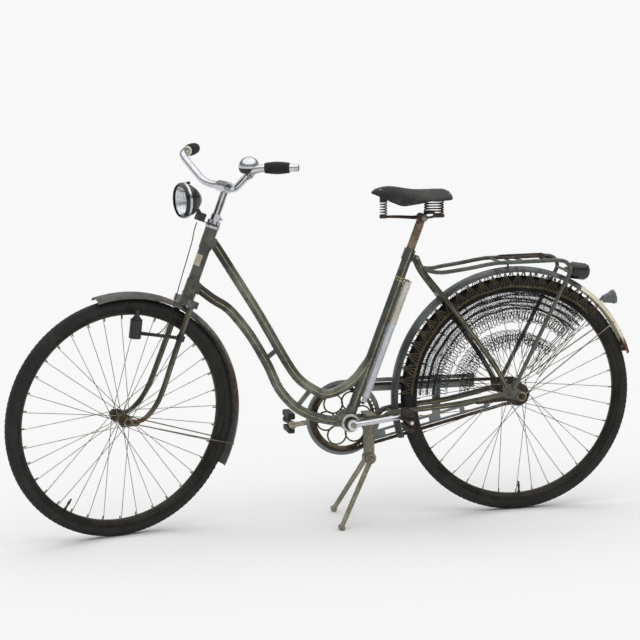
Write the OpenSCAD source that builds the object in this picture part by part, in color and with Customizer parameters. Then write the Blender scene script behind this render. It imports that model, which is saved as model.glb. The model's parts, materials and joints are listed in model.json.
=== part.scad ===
// Step-through roadster bicycle, weathered, standing on its two wheels and its centre stand.
// X points forward, Y to the rider's left and Z up. The origin is on the floor under the rear axle.

/* [Wheels] */
// Outer diameter of both tyres
tyre_d = 700; // [640:1:740]
// Width of both tyres
tyre_w = 40; // [32:1:46]
// Distance between the axles with the steering straight
wheelbase = 1185; // [1130:1:1260]
// Number of spokes in each wheel
spoke_n = 36; // [28:4:40]
// Thickness of one spoke
spoke_d = 2; // [1.8:0.2:2.6]
// Diameter of the rear axle
rear_axle_d = 9.5; // [8:0.5:10]
// Diameter of the front axle
front_axle_d = 8; // [8:0.5:9.5]

/* [Mudguards] */
// Width of both mudguards
guard_w = 54; // [48:1:60]
// Clearance between a tyre and the crown of its mudguard
guard_gap = 24; // [18:1:28]
// Thickness of the mudguard sheet
guard_t = 1.2; // [1:0.1:2]

/* [Frame] */
// Angle of the head tube above the floor
head_angle = 69; // [67:0.5:71]
// Length of the head tube
head_len = 195; // [165:1:235]
// Distance from the foot of the steering axis to the lower end of the head tube
head_rise = 400; // [395:1:430]
// Diameter of the head tube
head_d = 33; // [32:1:38]
// Diameter of the main tubes
tube_d = 28; // [23:0.5:30]
// Height of the crank axle
bb_z = 296; // [280:1:310]
// Distance of the crank axle ahead of the rear axle
bb_x = 512; // [490:1:530]
// Angle of the seat tube above the floor
seat_angle = 68.5; // [67:0.5:71]
// Length of the seat tube
seat_tube_len = 534; // [480:1:560]
// Diameter of the chain stays and seat stays
stay_d = 16; // [13:0.5:17]
// Distance between the rear dropouts
rear_gap = 118; // [114:1:124]

/* [Fork and handlebar] */
// Offset of the front axle ahead of the steering axis
fork_rake = 75; // [62:1:85]
// Angle that the steering is turned to the left at rest
steer_rest = 16; // [0:1:20]
// Diameter of the fork blades at the crown
blade_d = 18; // [15:0.5:20]
// Distance between the front dropouts
front_gap = 96; // [92:1:102]
// Width of the handlebar over its ends
bar_w = 594; // [520:1:640]
// Diameter of the handlebar
bar_d = 22; // [20:0.5:24]
// Height of the grips above the handlebar clamp
bar_rise = 77; // [60:1:90]
// Angle that the handlebar is knocked down on the right
bar_tilt = 4.8; // [0:0.2:6]
// Height of the handlebar clamp above the head tube
stem_h = 124; // [100:1:145]
// Diameter of the headlamp
lamp_d = 100; // [80:1:110]

/* [Drive] */
// Length of each crank
crank_len = 150; // [145:1:170]
// Angle of the left crank above the rearward horizontal at rest
crank_rest = 6; // [0:1:8]
// Teeth on the chainring
ring_teeth = 48; // [44:2:52]
// Teeth on the rear sprocket
cog_teeth = 18; // [16:1:20]
// Distance of the chain from the centre plane
chain_line = 46; // [45:0.5:47]
// Length of one pedal
pedal_len = 88; // [75:1:95]

/* [Saddle, carrier and stand] */
// Height of the saddle above the seat tube
saddle_rise = 175; // [150:1:200]
// Length of the saddle
saddle_len = 230; // [210:1:250]
// Width of the saddle
saddle_w = 178; // [160:1:200]
// Length of the level part of the carrier
carrier_len = 180; // [150:1:220]
// Width of the carrier over its rails
carrier_w = 132; // [120:1:150]
// Height of the carrier's rails above the mudguard
carrier_gap = 20; // [16:1:30]
// Distance between the feet of the stand
stand_w = 236; // [210:1:260]
// Length of the stand's legs seen from the side
stand_leg = 209; // [204:1:214]
// Distance that the foot of the right leg is bent back
stand_bend = 33; // [0:1:40]
// Length of the pump
pump_len = 375; // [320:1:400]

/* [Hidden] */

$fn = 48;
run = 0.05;                   // radial clearance of a running fit
pitch = 12.7;                 // chain pitch
wheel_r = tyre_d / 2;
tyre_r = tyre_w / 2;
rim_out = wheel_r - 28;       // radius of the rim's edges
rim_depth = 19;
rim_half = 17;
crown_r = wheel_r + guard_gap + guard_t;
guard_curl = guard_w / 2 + 5; // radius of the mudguard's cross-section
guard_edge = crown_r - guard_curl + sqrt(pow(guard_curl, 2) - pow(guard_w / 2, 2));

// steering axis: up it, forward across it, and the points along it
axis_up = [-cos(head_angle), 0, sin(head_angle)];
axis_fwd = [sin(head_angle), 0, cos(head_angle)];
front_hub_at = [wheelbase, 0, wheel_r];
axis_foot = front_hub_at - fork_rake * axis_fwd;
head_foot = axis_foot + head_rise * axis_up;
head_top = head_foot + head_len * axis_up;
steer_r = 12.7;
cup_h = 9;
clamp_at = head_top + stem_h * axis_up + 6 * axis_fwd;
bar_twist = bar_tilt / 3;       // the same knock turned it to the left

rear_hub_at = [0, 0, wheel_r];
// centres of the mudguards: the rear wheel sits back in its slots, the front guard is bent down
guard_at = [5, 0, wheel_r + 3];
front_guard_at = front_hub_at - 7 * axis_up;
bb = [bb_x, 0, bb_z];
seat_dir = [-cos(seat_angle), 0, sin(seat_angle)];
seat_back = [-sin(seat_angle), 0, -cos(seat_angle)];
seat_top = bb + seat_tube_len * seat_dir;
post_r = 12.5;
spindle_r = 8.5;
shell_r = 21;
shell_half = 34;
cup_out = 38;

ring_r = pitch / (2 * sin(180 / ring_teeth));
cog_r = pitch / (2 * sin(180 / cog_teeth));
chain_half = 5.5;             // half the width of the chain
chain_in = 3.2;               // half the width between its plates
chain_web = 2.6;              // how far the web lies outside the pitch line
chain_h = 4;                  // how far the plates reach each side of the pitch line
tooth_tip = 2;
crank_in = 62;                // inner face of each crank
crank_t = 12;
left_dir = [-cos(crank_rest), 0, sin(crank_rest)];
pedal_pin_r = 5;

drop_t = 5;
left_drop = rear_gap / 2;
front_drop = front_gap / 2;
front_drop_t = 4;

pivot = bb + [-63, 0, -113];  // pivot of the stand
pivot_r = 5;
foot_r = 8;
rail_z = guard_at.z + crown_r + carrier_gap;
rail_r = 6;
rail_y = carrier_w / 2 - rail_r;
rail_front = 70;

// ---- curves ----

function unit(v) = v / norm(v);
function heading(p, i) = unit(p[min(i + 1, len(p) - 1)] - p[max(i - 1, 0)]);
function along(p, i, t) =
    let (a = p[max(i - 1, 0)], b = p[i], c = p[i + 1], d = p[min(i + 2, len(p) - 1)])
    0.5 * (2 * b + (c - a) * t + (2 * a - 5 * b + 4 * c - d) * pow(t, 2)
        + (3 * b - a - 3 * c + d) * pow(t, 3));
function smooth(p, n = 4) =
    concat([for (i = [0 : len(p) - 2]) for (k = [0 : n - 1]) along(p, i, k / n)], [p[len(p) - 1]]);
// a corner at b between a and c, rounded with chords of an arc that starts r before it
function corner(a, b, c, r, n = 6) =
    [for (k = [0 : n]) let (t = k / n, p = b + r * unit(a - b), q = b + r * unit(c - b))
        pow(1 - t, 2) * p + 2 * t * (1 - t) * b + pow(t, 2) * q];
function mirrored(p) = [for (q = p) [q.x, -q.y, q.z]];
// a point between the crank axle and a point of the head tube, by its shares of run and rise
function between(head, k, m) = [bb.x + k * (head.x - bb.x), 0, bb.z + m * (head.z - bb.z)];

// a round bar swept along points; r is one radius or [first, last]
module bent(p, r, sides = 16, ref = [0, 1, 0]) {
    n = len(p);
    points = [for (i = [0 : n - 1])
        let (t = heading(p, i), e = unit(cross(ref, t)), f = cross(t, e),
            rr = is_list(r) ? r[0] + (r[1] - r[0]) * i / (n - 1) : r)
        for (k = [0 : sides - 1]) p[i] + rr * (cos(360 * k / sides) * e + sin(360 * k / sides) * f)];
    walls = [for (i = [0 : n - 2]) for (k = [0 : sides - 1])
        let (a = i * sides + k, b = i * sides + (k + 1) % sides) [a, a + sides, b + sides, b]];
    foot = [for (k = [0 : sides - 1]) k];
    top = [for (k = [sides - 1 : -1 : 0]) (n - 1) * sides + k];
    polyhedron(points, concat([foot], walls, [top]), convexity = 6);
}

// a straight round bar between two points
module rod(a, b, r, r2 = undef) {
    v = b - a;
    translate(a) rotate([0, acos(v.z / norm(v)), atan2(v.y, v.x)])
        cylinder(h = norm(v), r1 = r, r2 = is_undef(r2) ? r : r2);
}

// a disc or bar along Y from y0 to y1, centred on a point of the side view
module across(at, y0, y1, r) {
    translate([at.x, y0, at.z]) rotate([-90, 0, 0]) cylinder(h = y1 - y0, r = r);
}

// a flat plate in the side view from y0 to y1, drawn with X forward and Y up
module side_plate(y0, y1) {
    translate([0, y1, 0]) rotate([90, 0, 0]) linear_extrude(y1 - y0) children();
}

// turned about the wheel's axle; the outline is drawn as [radius, offset to the left]
module turned(from = 0, sweep = 360) {
    rotate([90, -from, 0]) mirror([0, 0, 1]) rotate_extrude(angle = sweep, $fn = 120)
        children();
}

module both_sides() {
    children();
    mirror([0, 1, 0]) children();
}

// what the handlebar turns
module steered() {
    translate(head_foot) rotate(a = steer_rest, v = axis_up) translate(-head_foot) children();
}

// what was knocked together with the handlebar
module knocked() {
    translate(clamp_at) rotate(a = bar_twist, v = axis_up) rotate(a = bar_tilt, v = axis_fwd)
        translate(-clamp_at) children();
}

// two round ends joined by straight flanks, in the side view
module link(a, b, ra, rb) {
    d = unit([b.x - a.x, b.y - a.y]);
    n = [-d.y, d.x];
    translate(a) circle(ra);
    translate(b) circle(rb);
    polygon([a + ra * n, a - ra * n, b - rb * n, b + rb * n]);
}

function side(p) = [p.x, p.z];

// placed on the steering axis, h above the lower end of the head tube
module on_axis(h = 0) {
    translate(head_foot) rotate([0, head_angle - 90, 0]) translate([0, 0, h]) children();
}

// ---- main frame ----

top_joint = head_foot + (head_len - 40) * axis_up;
down_joint = head_foot + 25 * axis_up;
top_path = concat(
    [top_joint - 9 * axis_fwd],
    [for (q = [[0.95, 0.985], [0.81, 0.815], [0.634, 0.596], [0.471, 0.375], [0.377, 0.263],
        [0.28, 0.197], [0.144, 0.153]]) between(top_joint, q[0], q[1])],
    [bb + 112 * seat_dir - (tube_d + 1) * seat_back, bb + 172 * seat_dir - 6 * seat_back,
        bb + 196 * seat_dir]);
down_path = concat(
    [down_joint - 9 * axis_fwd],
    [for (q = [[0.869, 0.895], [0.773, 0.825], [0.678, 0.704], [0.604, 0.585], [0.52, 0.419],
        [0.449, 0.25], [0.351, 0.125], [0.253, 0.06], [0.156, 0.022], [0.06, 0.002]])
        between(down_joint, q[0], q[1])],
    [bb + [shell_r - 8, 0, 0]]);
lug_r = tube_d / 2 + 2.5;

module head_tube() color("darkslategray") {
    difference() {
        union() {
            on_axis() cylinder(h = head_len, r = head_d / 2);
            on_axis() cylinder(h = 40, r = head_d / 2 + 2);
            on_axis(head_len - 62) cylinder(h = 62, r = head_d / 2 + 2);
            on_axis(-cup_h) cylinder(h = cup_h, r1 = head_d / 2 + 2, r2 = head_d / 2 + 4.5);
            on_axis(head_len) cylinder(h = cup_h, r = head_d / 2 + 4.5);
            rod(top_joint, top_path[0] + 30 * unit(top_path[1] - top_path[0]), lug_r);
            rod(down_joint, down_path[0] + 34 * unit(down_path[1] - down_path[0]), lug_r);
        }
        on_axis(-cup_h - 1) cylinder(h = head_len + 2 * cup_h + 2, r = steer_r + run);
    }
}

// a main tube, mitred to sit round the head tube
module main_tube(path) difference() {
    bent(smooth(path), tube_d / 2, 18);
    on_axis(-cup_h) cylinder(h = head_len + 2 * cup_h, r = head_d / 2 - 1);
}

module top_tube() color("darkslategray") main_tube(top_path);

module down_tube() color("darkslategray") main_tube(down_path);

bridge_r = 5;
bridge_off = crown_r + bridge_r + 0.3;
low_bridge_z = bb_z + 22;
low_bridge = [guard_at.x + sqrt(pow(bridge_off, 2) - pow(guard_at.z - low_bridge_z, 2)), low_bridge_z];
high_bridge_at = 53;
high_bridge = [guard_at.x + bridge_off * cos(high_bridge_at), guard_at.z + bridge_off * sin(high_bridge_at)];

module frame_braces() color("darkslategray") {
    rod(between(down_joint, 0.54, 0.46), between(top_joint, 0.514, 0.406), 7);
    rod(between(down_joint, 0.335, 0.12), between(top_joint, 0.272, 0.18), 7);
    across([low_bridge.x, 0, low_bridge.y], -31, 31, bridge_r);
    across([high_bridge.x, 0, high_bridge.y], -36, 36, bridge_r);
}

pump_r = 11;
pump_side = tube_d / 2 + pump_r + 1.5;
pump_from = 67;
peg_r = 3;

module seat_tube() color("darkslategray") {
    difference() {
        union() {
            rod(bb + 14 * seat_dir, seat_top, tube_d / 2);
            rod(seat_top - 34 * seat_dir, seat_top, tube_d / 2 + 3);
            for (s = [pump_from - peg_r - 0.2, pump_from + pump_len + peg_r + 0.2])
                rod(bb + s * seat_dir, bb + s * seat_dir + (pump_side + 3) * seat_back, peg_r);
        }
        rod(seat_top - 160 * seat_dir, seat_top + seat_dir, post_r + 0.1);
    }
}

module bottom_bracket() color("darkslategray") {
    difference() {
        union() {
            across(bb, -shell_half, shell_half, shell_r);
            across(bb, -cup_out, cup_out, 24);
            rod(bb, bb + 40 * unit(down_path[len(down_path) - 2] - bb), lug_r);
            rod(bb, bb + 44 * seat_dir, lug_r);
            both_sides() rod(bb + [-8, 22, 0], bb + [-44, 26, 5], stay_d / 2 + 2);
        }
        across(bb, -cup_out - 1, cup_out + 1, spindle_r + run);
    }
}

stay_end = [46, left_drop + drop_t / 2, wheel_r + 10];
chain_stay_path = [bb + [-12, 22, 1], bb + [-60, 28, 7], bb + [-100, 31, 11],
    [crown_r + 2, guard_w / 2 + stay_d / 2 + 2, low_bridge.y + 3], [200, 46, bb_z + 38], stay_end];

module chain_stays() color("darkslategray")
    both_sides() bent(smooth(chain_stay_path), stay_d / 2, 14, [0, 0, 1]);

seat_stay_path = [seat_top + [-13, tube_d / 2 + 4, -22], seat_top + [-33, 21, -66],
    seat_top + [-75, 33, -122], seat_top + [-115, 43, -175], [90, 58, wheel_r + 110],
    [44, left_drop + drop_t / 2, wheel_r + 28]];

module seat_stays() color("darkslategray") {
    both_sides() bent(smooth(seat_stay_path), [stay_d / 2, stay_d / 2 - 1], 14, [1, 0, 0]);
    across(seat_stay_path[0], -tube_d / 2 - 14, -tube_d / 2 - 4, 6);
    across(seat_stay_path[0], tube_d / 2 + 4, tube_d / 2 + 14, 6);
}

module rear_dropouts() color("darkslategray")
    both_sides() side_plate(left_drop, left_drop + drop_t) difference() {
        union() {
            link([44, wheel_r + 26], side(rear_hub_at), 13, 15);
            link([48, wheel_r + 8], side(rear_hub_at), 11, 13);
        }
        translate(side(rear_hub_at)) circle(rear_axle_d / 2);
        translate(side(rear_hub_at) - [30, rear_axle_d / 2]) square([30, rear_axle_d]);
    }

eye_t = 2;
nut_t = 9;
rear_nut_r = 9.5;
front_nut_r = 8;
axle_out = left_drop + drop_t + eye_t + nut_t + 8;
hub_left = left_drop - 11;
hub_right = -left_drop + 9;
arm_y = [hub_left + 1.5, hub_left + 6];

module rear_axle() color("silver") {
    across(rear_hub_at, -axle_out, axle_out, rear_axle_d / 2);
    across(rear_hub_at, arm_y[1], left_drop, 9);
    across(rear_hub_at, -left_drop, hub_right - 1.5, 9);
    both_sides() translate([0, left_drop + drop_t + eye_t, wheel_r])
        rotate([-90, 0, 0]) cylinder(h = nut_t, r = rear_nut_r, $fn = 6);
}

arm_tip = [132, bb_z + 44];

module coaster_arm() color("saddlebrown") {
    difference() {
        union() {
            side_plate(arm_y[0], arm_y[1]) {
                translate(side(rear_hub_at)) circle(24);
                link(side(rear_hub_at), arm_tip, 11, 8);
            }
            across([arm_tip.x, 0, arm_tip.y], arm_y[0] - 5, arm_y[0], 6);
        }
        across(rear_hub_at, 0, arm_y[1] + 1, rear_axle_d / 2);
    }
}

saddle_clamp = seat_top + (saddle_rise - 83) / sin(seat_angle) * seat_dir;

module seat_post() color("sienna")
    rod(seat_top - 120 * seat_dir, saddle_clamp - 11 * seat_dir, post_r);

// ---- saddle ----

saddle_rear = saddle_clamp + [-0.345 * saddle_len, 0, 0];
spring_h = 38;
rear_spring = saddle_clamp + [-36, 50, 12];
front_spring = saddle_clamp + [0.65 * saddle_len - 34, 0, 10];

// [share of the length, share of the half width, height of the crown, drop of the skirt]
saddle_outline = [[0, 0.45, 62, 6], [0.04, 0.68, 70, 12], [0.1, 0.86, 76, 19], [0.2, 1, 79, 23],
    [0.32, 0.97, 80, 25], [0.44, 0.78, 82, 34], [0.55, 0.57, 86, 46], [0.64, 0.43, 90, 53],
    [0.73, 0.34, 94, 49], [0.82, 0.27, 94, 38], [0.9, 0.22, 91, 28], [0.96, 0.16, 86, 17],
    [1, 0.07, 79, 6]];
saddle_stations = [for (s = smooth(saddle_outline, 2)) [s[0], s[1] * saddle_w / 2, s[2], s[3]]];
saddle_arc = 12;
saddle_wall = 4;

function saddle_ring(s, inset) = let (w = s[1] - inset, z = s[2] - inset)
    [for (k = [0 : saddle_arc]) let (u = -1 + 2 * k / saddle_arc)
        saddle_rear + [s[0] * saddle_len, w * sin(90 * u),
            z - (s[3] - inset) * (1 - cos(90 * u)) - 2 * pow(abs(u), 6)]];

module saddle_cover() color("dimgray") {
    n = len(saddle_stations);
    m = 2 * (saddle_arc + 1);
    points = [for (s = saddle_stations) each concat(saddle_ring(s, 0),
        [for (k = [saddle_arc : -1 : 0]) saddle_ring(s, saddle_wall)[k]])];
    walls = [for (i = [0 : n - 2]) for (k = [0 : m - 1]) let (a = i * m + k, b = i * m + (k + 1) % m)
        each [[a, b, b + m], [a, b + m, a + m]]];
    // each end is a strip between the outer and the inner arc
    ends = [for (k = [0 : saddle_arc - 1]) let (q = (n - 1) * m)
        each [[k, m - 1 - k, k + 1], [k + 1, m - 1 - k, m - 2 - k],
            [q + k, q + k + 1, q + m - 1 - k], [q + k + 1, q + m - 2 - k, q + m - 1 - k]]];
    polyhedron(points, concat(walls, ends), convexity = 8);
}

saddle_wire_r = 3.5;

module saddle_frame() color("sienna") {
    across(saddle_clamp, -24, 24, 11);
    both_sides() {
        bent(smooth([front_spring + [4, 0, -4], saddle_clamp + [70, 12, 4], saddle_clamp + [20, 20, 0],
            saddle_clamp + [-10, 34, 2], rear_spring - [0, 0, 4]]), saddle_wire_r, 10, [0, 0, 1]);
        translate(rear_spring - [0, 0, 8]) cylinder(h = 8, r = 17);
        translate(rear_spring + [0, 0, spring_h]) cylinder(h = 6, r = 17);
        translate(rear_spring + [0, 0, spring_h]) cylinder(h = 24, r = 8);
    }
    across(rear_spring + [0, -rear_spring.y, spring_h + 3], -48, 48, saddle_wire_r);
    translate(front_spring - [0, 0, 8]) cylinder(h = 8, r = 12);
    translate(front_spring + [0, 0, spring_h]) cylinder(h = 38, r = 11);
}

coil_turns = 4.5;

function coil(at, r, w) = [for (k = [0 : 12 * coil_turns])
    at + [r * cos(30 * k), r * sin(30 * k), w + (spring_h - 2 * w) * k / (12 * coil_turns)]];

module saddle_springs() color("sienna") {
    both_sides() bent(coil(rear_spring, 14, 2.2), 2.2, 6, [0, 0, 1]);
    bent(coil(front_spring, 10, 1.8), 1.8, 6, [0, 0, 1]);
}

// ---- mudguards, carrier and what they carry ----

// cross-section of a mudguard, crown outwards
module guard_section() intersection() {
    translate([crown_r - guard_curl, 0]) difference() {
        circle(guard_curl);
        circle(guard_curl - guard_t);
    }
    translate([guard_edge, -guard_w / 2]) square([guard_curl, guard_w]);
}

guard_from = -18;
tail_from = 124;
tail_to = 164;

module rear_mudguard() color("slategray")
    translate(guard_at) turned(guard_from, tail_from - guard_from) guard_section();

module mudguard_tail() color("antiquewhite")
    translate(guard_at) turned(tail_from, tail_to - tail_from) guard_section();

wire_r = 1.8;

// a wire from an axle's eyelet to both edges of a mudguard
module guard_stays(hub, centre, eye_y, axle_r, nut_r, at) {
    edge = centre + [(guard_edge + 4) * cos(at), guard_w / 2 + wire_r, (guard_edge + 4) * sin(at)];
    difference() {
        union() {
            across(hub, eye_y, eye_y + eye_t, nut_r + 5);
            rod(hub + [(nut_r + 2.5) * cos(at), eye_y + eye_t + wire_r - 0.2, (nut_r + 2.5) * sin(at)],
                edge, wire_r);
        }
        across(hub, eye_y - 1, eye_y + eye_t + 1, axle_r);
    }
}

module rear_guard_stays() color("silver") both_sides()
    guard_stays(rear_hub_at, guard_at, left_drop + drop_t, rear_axle_d / 2, rear_nut_r, 147);

rail_path_front = [[281, 31, rail_z - 13], [262, 42, rail_z - 19], [236, 53, rail_z - 21],
    [200, rail_y, rail_z - 17], [150, rail_y, rail_z - 11], [105, rail_y, rail_z - 4],
    [rail_front, rail_y, rail_z]];
rail_end = rail_front - carrier_len;
strut_foot = [26, left_drop + drop_t + rail_r, wheel_r + 24];
strut_top = [rail_end - 26, rail_y + 1, rail_z - 66];
lamp_bar = [rail_end - 42, 0, rail_z - 36];
rail_path_rear = [[rail_end, rail_y, rail_z], [rail_end - 24, rail_y, rail_z - 4],
    [rail_end - 38, rail_y, rail_z - 16], [lamp_bar.x, rail_y, lamp_bar.z], strut_top];

module carrier() color("darkslategray") {
    both_sides() {
        bent(smooth(rail_path_front, 3), rail_r, 12);
        rod([rail_front, rail_y, rail_z], [rail_end, rail_y, rail_z], rail_r);
        bent(smooth(rail_path_rear, 3), rail_r, 12);
        rod(strut_top, strut_foot, rail_r);
    }
    for (x = [rail_front - 12, rail_front - carrier_len * 0.45, rail_end + 14])
        across([x, 0, rail_z], -rail_y, rail_y, 4);
    across(lamp_bar, -rail_y, rail_y, 4);
    // tab that bolts the carrier to the crown of the mudguard
    translate([20, 0, guard_at.z + crown_r + 0.2]) cylinder(h = carrier_gap - 2, r = 3);
    across([20, 0, rail_z - 1], -rail_y, rail_y, 3);
}

clip_r = 2.8;
clip_y = 34;
clip_z = rail_z + rail_r + clip_r + 0.2;

module carrier_clip() color("sienna") {
    front = rail_front - 25;
    rear = rail_end + 14;
    bent(concat([[rear, clip_y, clip_z]],
        corner([rear, clip_y, clip_z], [front, clip_y, clip_z], [front, -clip_y, clip_z], 22),
        corner([front, clip_y, clip_z], [front, -clip_y, clip_z], [rear, -clip_y, clip_z], 22),
        [[rear, -clip_y, clip_z]]), clip_r, 8, [0, 0, 1]);
    both_sides() difference() {
        across([rear, 0, rail_z], clip_y - 4, clip_y + 4, 9);
        across([rear, 0, rail_z], clip_y - 5, clip_y + 5, 4.05);
    }
}

tail_lamp_r = 25;
tail_lamp_tilt = 10;

module tail_lamp() color("black")
    translate(lamp_bar - [4.2, 0, 0]) rotate([0, -90 - tail_lamp_tilt, 0]) rotate_extrude()
        polygon([[0, 0], [8, 0], [8, 14], [tail_lamp_r - 5, 14], [tail_lamp_r, 20], [tail_lamp_r, 60],
            [tail_lamp_r - 4, 68], [14, 74], [0, 75]]);

reflector_turn = 136;
reflector_dir = [cos(reflector_turn), 0, sin(reflector_turn)];

module rear_reflector() color("gray") {
    translate(guard_at + (crown_r + 2) * reflector_dir) rotate([0, -80, 0]) rotate_extrude()
        polygon([[0, 8], [11, 8], [13, 18], [18, 34], [21, 38], [21, 46], [0, 48]]);
    rod(guard_at + (crown_r + 0.3) * reflector_dir, guard_at + (crown_r + 16) * reflector_dir, 4);
}

// ---- drive ----

// points of a belt round both pitch circles, e outside them
belt_dir = unit([bb.x, bb.z - wheel_r]);
belt_turn = asin((ring_r - cog_r) / norm([bb.x, bb.z - wheel_r]));
belt_tilt = atan2(belt_dir.y, belt_dir.x);
function arc(c, r, a0, a1, n) = [for (k = [0 : n])
    let (a = a0 + (a1 - a0) * k / n) [c.x + r * cos(a), c.y + r * sin(a)]];
function belt(e) = concat(
    arc(side(bb), ring_r + e, belt_tilt - 90 - belt_turn, belt_tilt + 90 + belt_turn, 36),
    arc(side(rear_hub_at), cog_r + e, belt_tilt + 90 + belt_turn, belt_tilt + 270 - belt_turn, 24));

module chain() color("saddlebrown") difference() {
    side_plate(-chain_line - chain_half, -chain_line + chain_half) polygon(belt(chain_h));
    side_plate(-chain_line - chain_in, -chain_line + chain_in) polygon(belt(chain_web));
    side_plate(-chain_line - chain_half - 1, -chain_line + chain_half + 1) polygon(belt(-chain_h));
}

// a toothed outline
module teeth(n, r) {
    step = 360 / n;
    polygon([for (k = [0 : n - 1]) for (q = [[-0.5, -4.5], [-0.2, -3.9], [-0.1, tooth_tip], [0.1, tooth_tip],
        [0.2, -3.9]]) let (a = (k + q[0]) * step) (r + q[1]) * [cos(a), sin(a)]]);
}

ring_t = 3;
ring_ty = [-chain_line - ring_t / 2, -chain_line + ring_t / 2];
eyes = 6;
eye_at = 54;

module chainring() color("darkgray")
    translate([bb.x, 0, bb.z]) rotate([0, crank_rest, 0]) side_plate(ring_ty[0], ring_ty[1]) difference() {
        union() {
            difference() {
                teeth(ring_teeth, ring_r);
                circle(ring_r - 14);
            }
            circle(27);
            for (k = [0 : eyes - 1]) rotate(k * 360 / eyes) translate([eye_at, 0]) difference() {
                circle(30);
                circle(25.5);
            }
        }
        circle(spindle_r);
    }

module sprocket() color("saddlebrown")
    translate(rear_hub_at) side_plate(ring_ty[0], ring_ty[1]) difference() {
        teeth(cog_teeth, cog_r);
        circle(17);
    }

guard_y = [-chain_line - chain_half - 3, -chain_line - chain_half - 1.5];
guard_ring_r = ring_r + 15;

// a strip of the guard e0 to e1 above a straight chain run, by shares of the run from the rear
module guard_strip(a, b, u0, u1, e0, e1) {
    d = unit(b - a);
    n = [-d.y, d.x];
    p = a + u0 * (b - a);
    q = a + u1 * (b - a);
    polygon([p + e0 * n, q + e0 * n, q + e1 * n, p + e1 * n]);
}

module chain_guard() color("slategray") {
    low = [side(rear_hub_at) + cog_r * [sin(belt_tilt - belt_turn), -cos(belt_tilt - belt_turn)],
        side(bb) + ring_r * [sin(belt_tilt - belt_turn), -cos(belt_tilt - belt_turn)]];
    high = [side(rear_hub_at) + cog_r * [-sin(belt_tilt + belt_turn), cos(belt_tilt + belt_turn)],
        side(bb) + ring_r * [-sin(belt_tilt + belt_turn), cos(belt_tilt + belt_turn)]];
    side_plate(guard_y[0], guard_y[1]) difference() {
        union() {
            translate(side(bb)) circle(guard_ring_r);
            guard_strip(low[0], low[1], 0.14, 0.9, 5, 33);
            guard_strip(high[0], high[1], 0.22, 0.85, -22, -6);
            guard_strip(high[0], high[1], 0.22, 0.85, 5, 17);
            guard_strip(high[0], high[1], 0.215, 0.25, -24, 19);
            guard_strip(high[0], high[1], 0.42, 0.47, -100, 19);
        }
        translate(side(bb)) circle(ring_r + 1);
        for (u = [0.17, 0.32, 0.51, 0.66]) guard_strip(low[0], low[1], u, u + 0.12, 12, 25);
    }
    // clip on the right chain stay
    across([235, 0, bb_z + 33], guard_y[1], -50, 6);
}

module pump() color("lightgray") {
    p = bb + pump_from * seat_dir + pump_side * seat_back;
    rod(p, p + (pump_len - 130) * seat_dir, pump_r);
    rod(p + (pump_len - 130) * seat_dir, p + (pump_len - 122) * seat_dir, pump_r + 1);
    rod(p + (pump_len - 122) * seat_dir, p + pump_len * seat_dir, pump_r - 0.5);
}

boss_y = 15;

module stand_bracket() color("tan") {
    difference() {
        union() {
            across(pivot, -boss_y, boss_y, 18);
            translate([pivot.x - 13, -boss_y, pivot.z + 4])
                cube([26, 2 * boss_y, bb_z + 18 - pivot.z - 4]);
            translate([pivot.x - 15, -34, bb_z + 16]) cube([30, 68, 5]);
        }
        across(pivot, -boss_y - 1, boss_y + 1, pivot_r + run);
    }
}

net_low = [362, 398];         // lowest point of the left and the right net
net_in = 70;
net_from = 4;
net_to = 135;

module net(low) difference() {
    translate(guard_at) turned(net_from, net_to - net_from)
        polygon([[net_in, 46], [guard_edge + 2, guard_w / 2 + 0.5], [guard_edge + 2, guard_w / 2 + 1],
            [net_in, 46.6]]);
    translate([-10, 0, 0]) cube([crown_r + 40, 80, low]);
}

module skirt_nets() color("black") {
    net(net_low[0]);
    mirror([0, 1, 0]) net(net_low[1]);
}

// ---- fork, handlebar and what turns with them ----

crown_low = -36;
nut_h = 11;
bracket_t = 2.5;
steer_top = head_len + cup_h + 1 + bracket_t + nut_h;
quill_r = 11.1;
blade_y = 38;
blade_path = [for (q = [[0, -18, blade_y], [0, -100, blade_y], [0, -200, 41], [0, -280, 45], [7, -332, 48],
    [27, -375, front_drop + 2], [52, -394, front_drop + 2]])
    axis_foot + q[0] * axis_fwd + (head_rise + q[1]) * axis_up + [0, q[2], 0]];
blade_end = blade_path[len(blade_path) - 1];

module steerer() color("darkslategray") steered() on_axis() difference() {
    union() {
        translate([0, 0, crown_low]) cylinder(h = steer_top - crown_low, r = steer_r);
        translate([0, 0, crown_low]) cylinder(h = 24, r = 19);
        translate([-16, -blade_y - 10, crown_low]) cube([32, 2 * blade_y + 20, 20]);
        translate([0, 0, crown_low + 24]) cylinder(h = -cup_h - 1 - crown_low - 24, r = 20);
        translate([0, 0, steer_top - nut_h]) cylinder(h = nut_h, r = 19, $fn = 8);
    }
    translate([0, 0, steer_top - 70]) cylinder(h = 71, r = quill_r + 0.1);
}

module fork_blades() color("darkslategray") steered() {
    both_sides() bent(smooth(blade_path), [blade_d / 2, 6.5], 14);
    both_sides() side_plate(front_drop, front_drop + front_drop_t) difference() {
        link(side(blade_end) - [4, 2], side(front_hub_at), 9, 12);
        translate(side(front_hub_at)) circle(front_axle_d / 2);
    }
}

front_out = front_drop + front_drop_t + eye_t + 7 + 6;
front_hub_half = front_drop - 9;

module front_axle() color("silver") steered() {
    across(front_hub_at, -front_out, front_out, front_axle_d / 2);
    both_sides() {
        across(front_hub_at, front_hub_half + 1.5, front_drop, 8);
        translate(front_hub_at + [0, front_drop + front_drop_t + eye_t, 0])
            rotate([-90, 0, 0]) cylinder(h = 7, r = front_nut_r, $fn = 6);
    }
}

front_guard_from = 78;
front_guard_to = 208;

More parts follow.
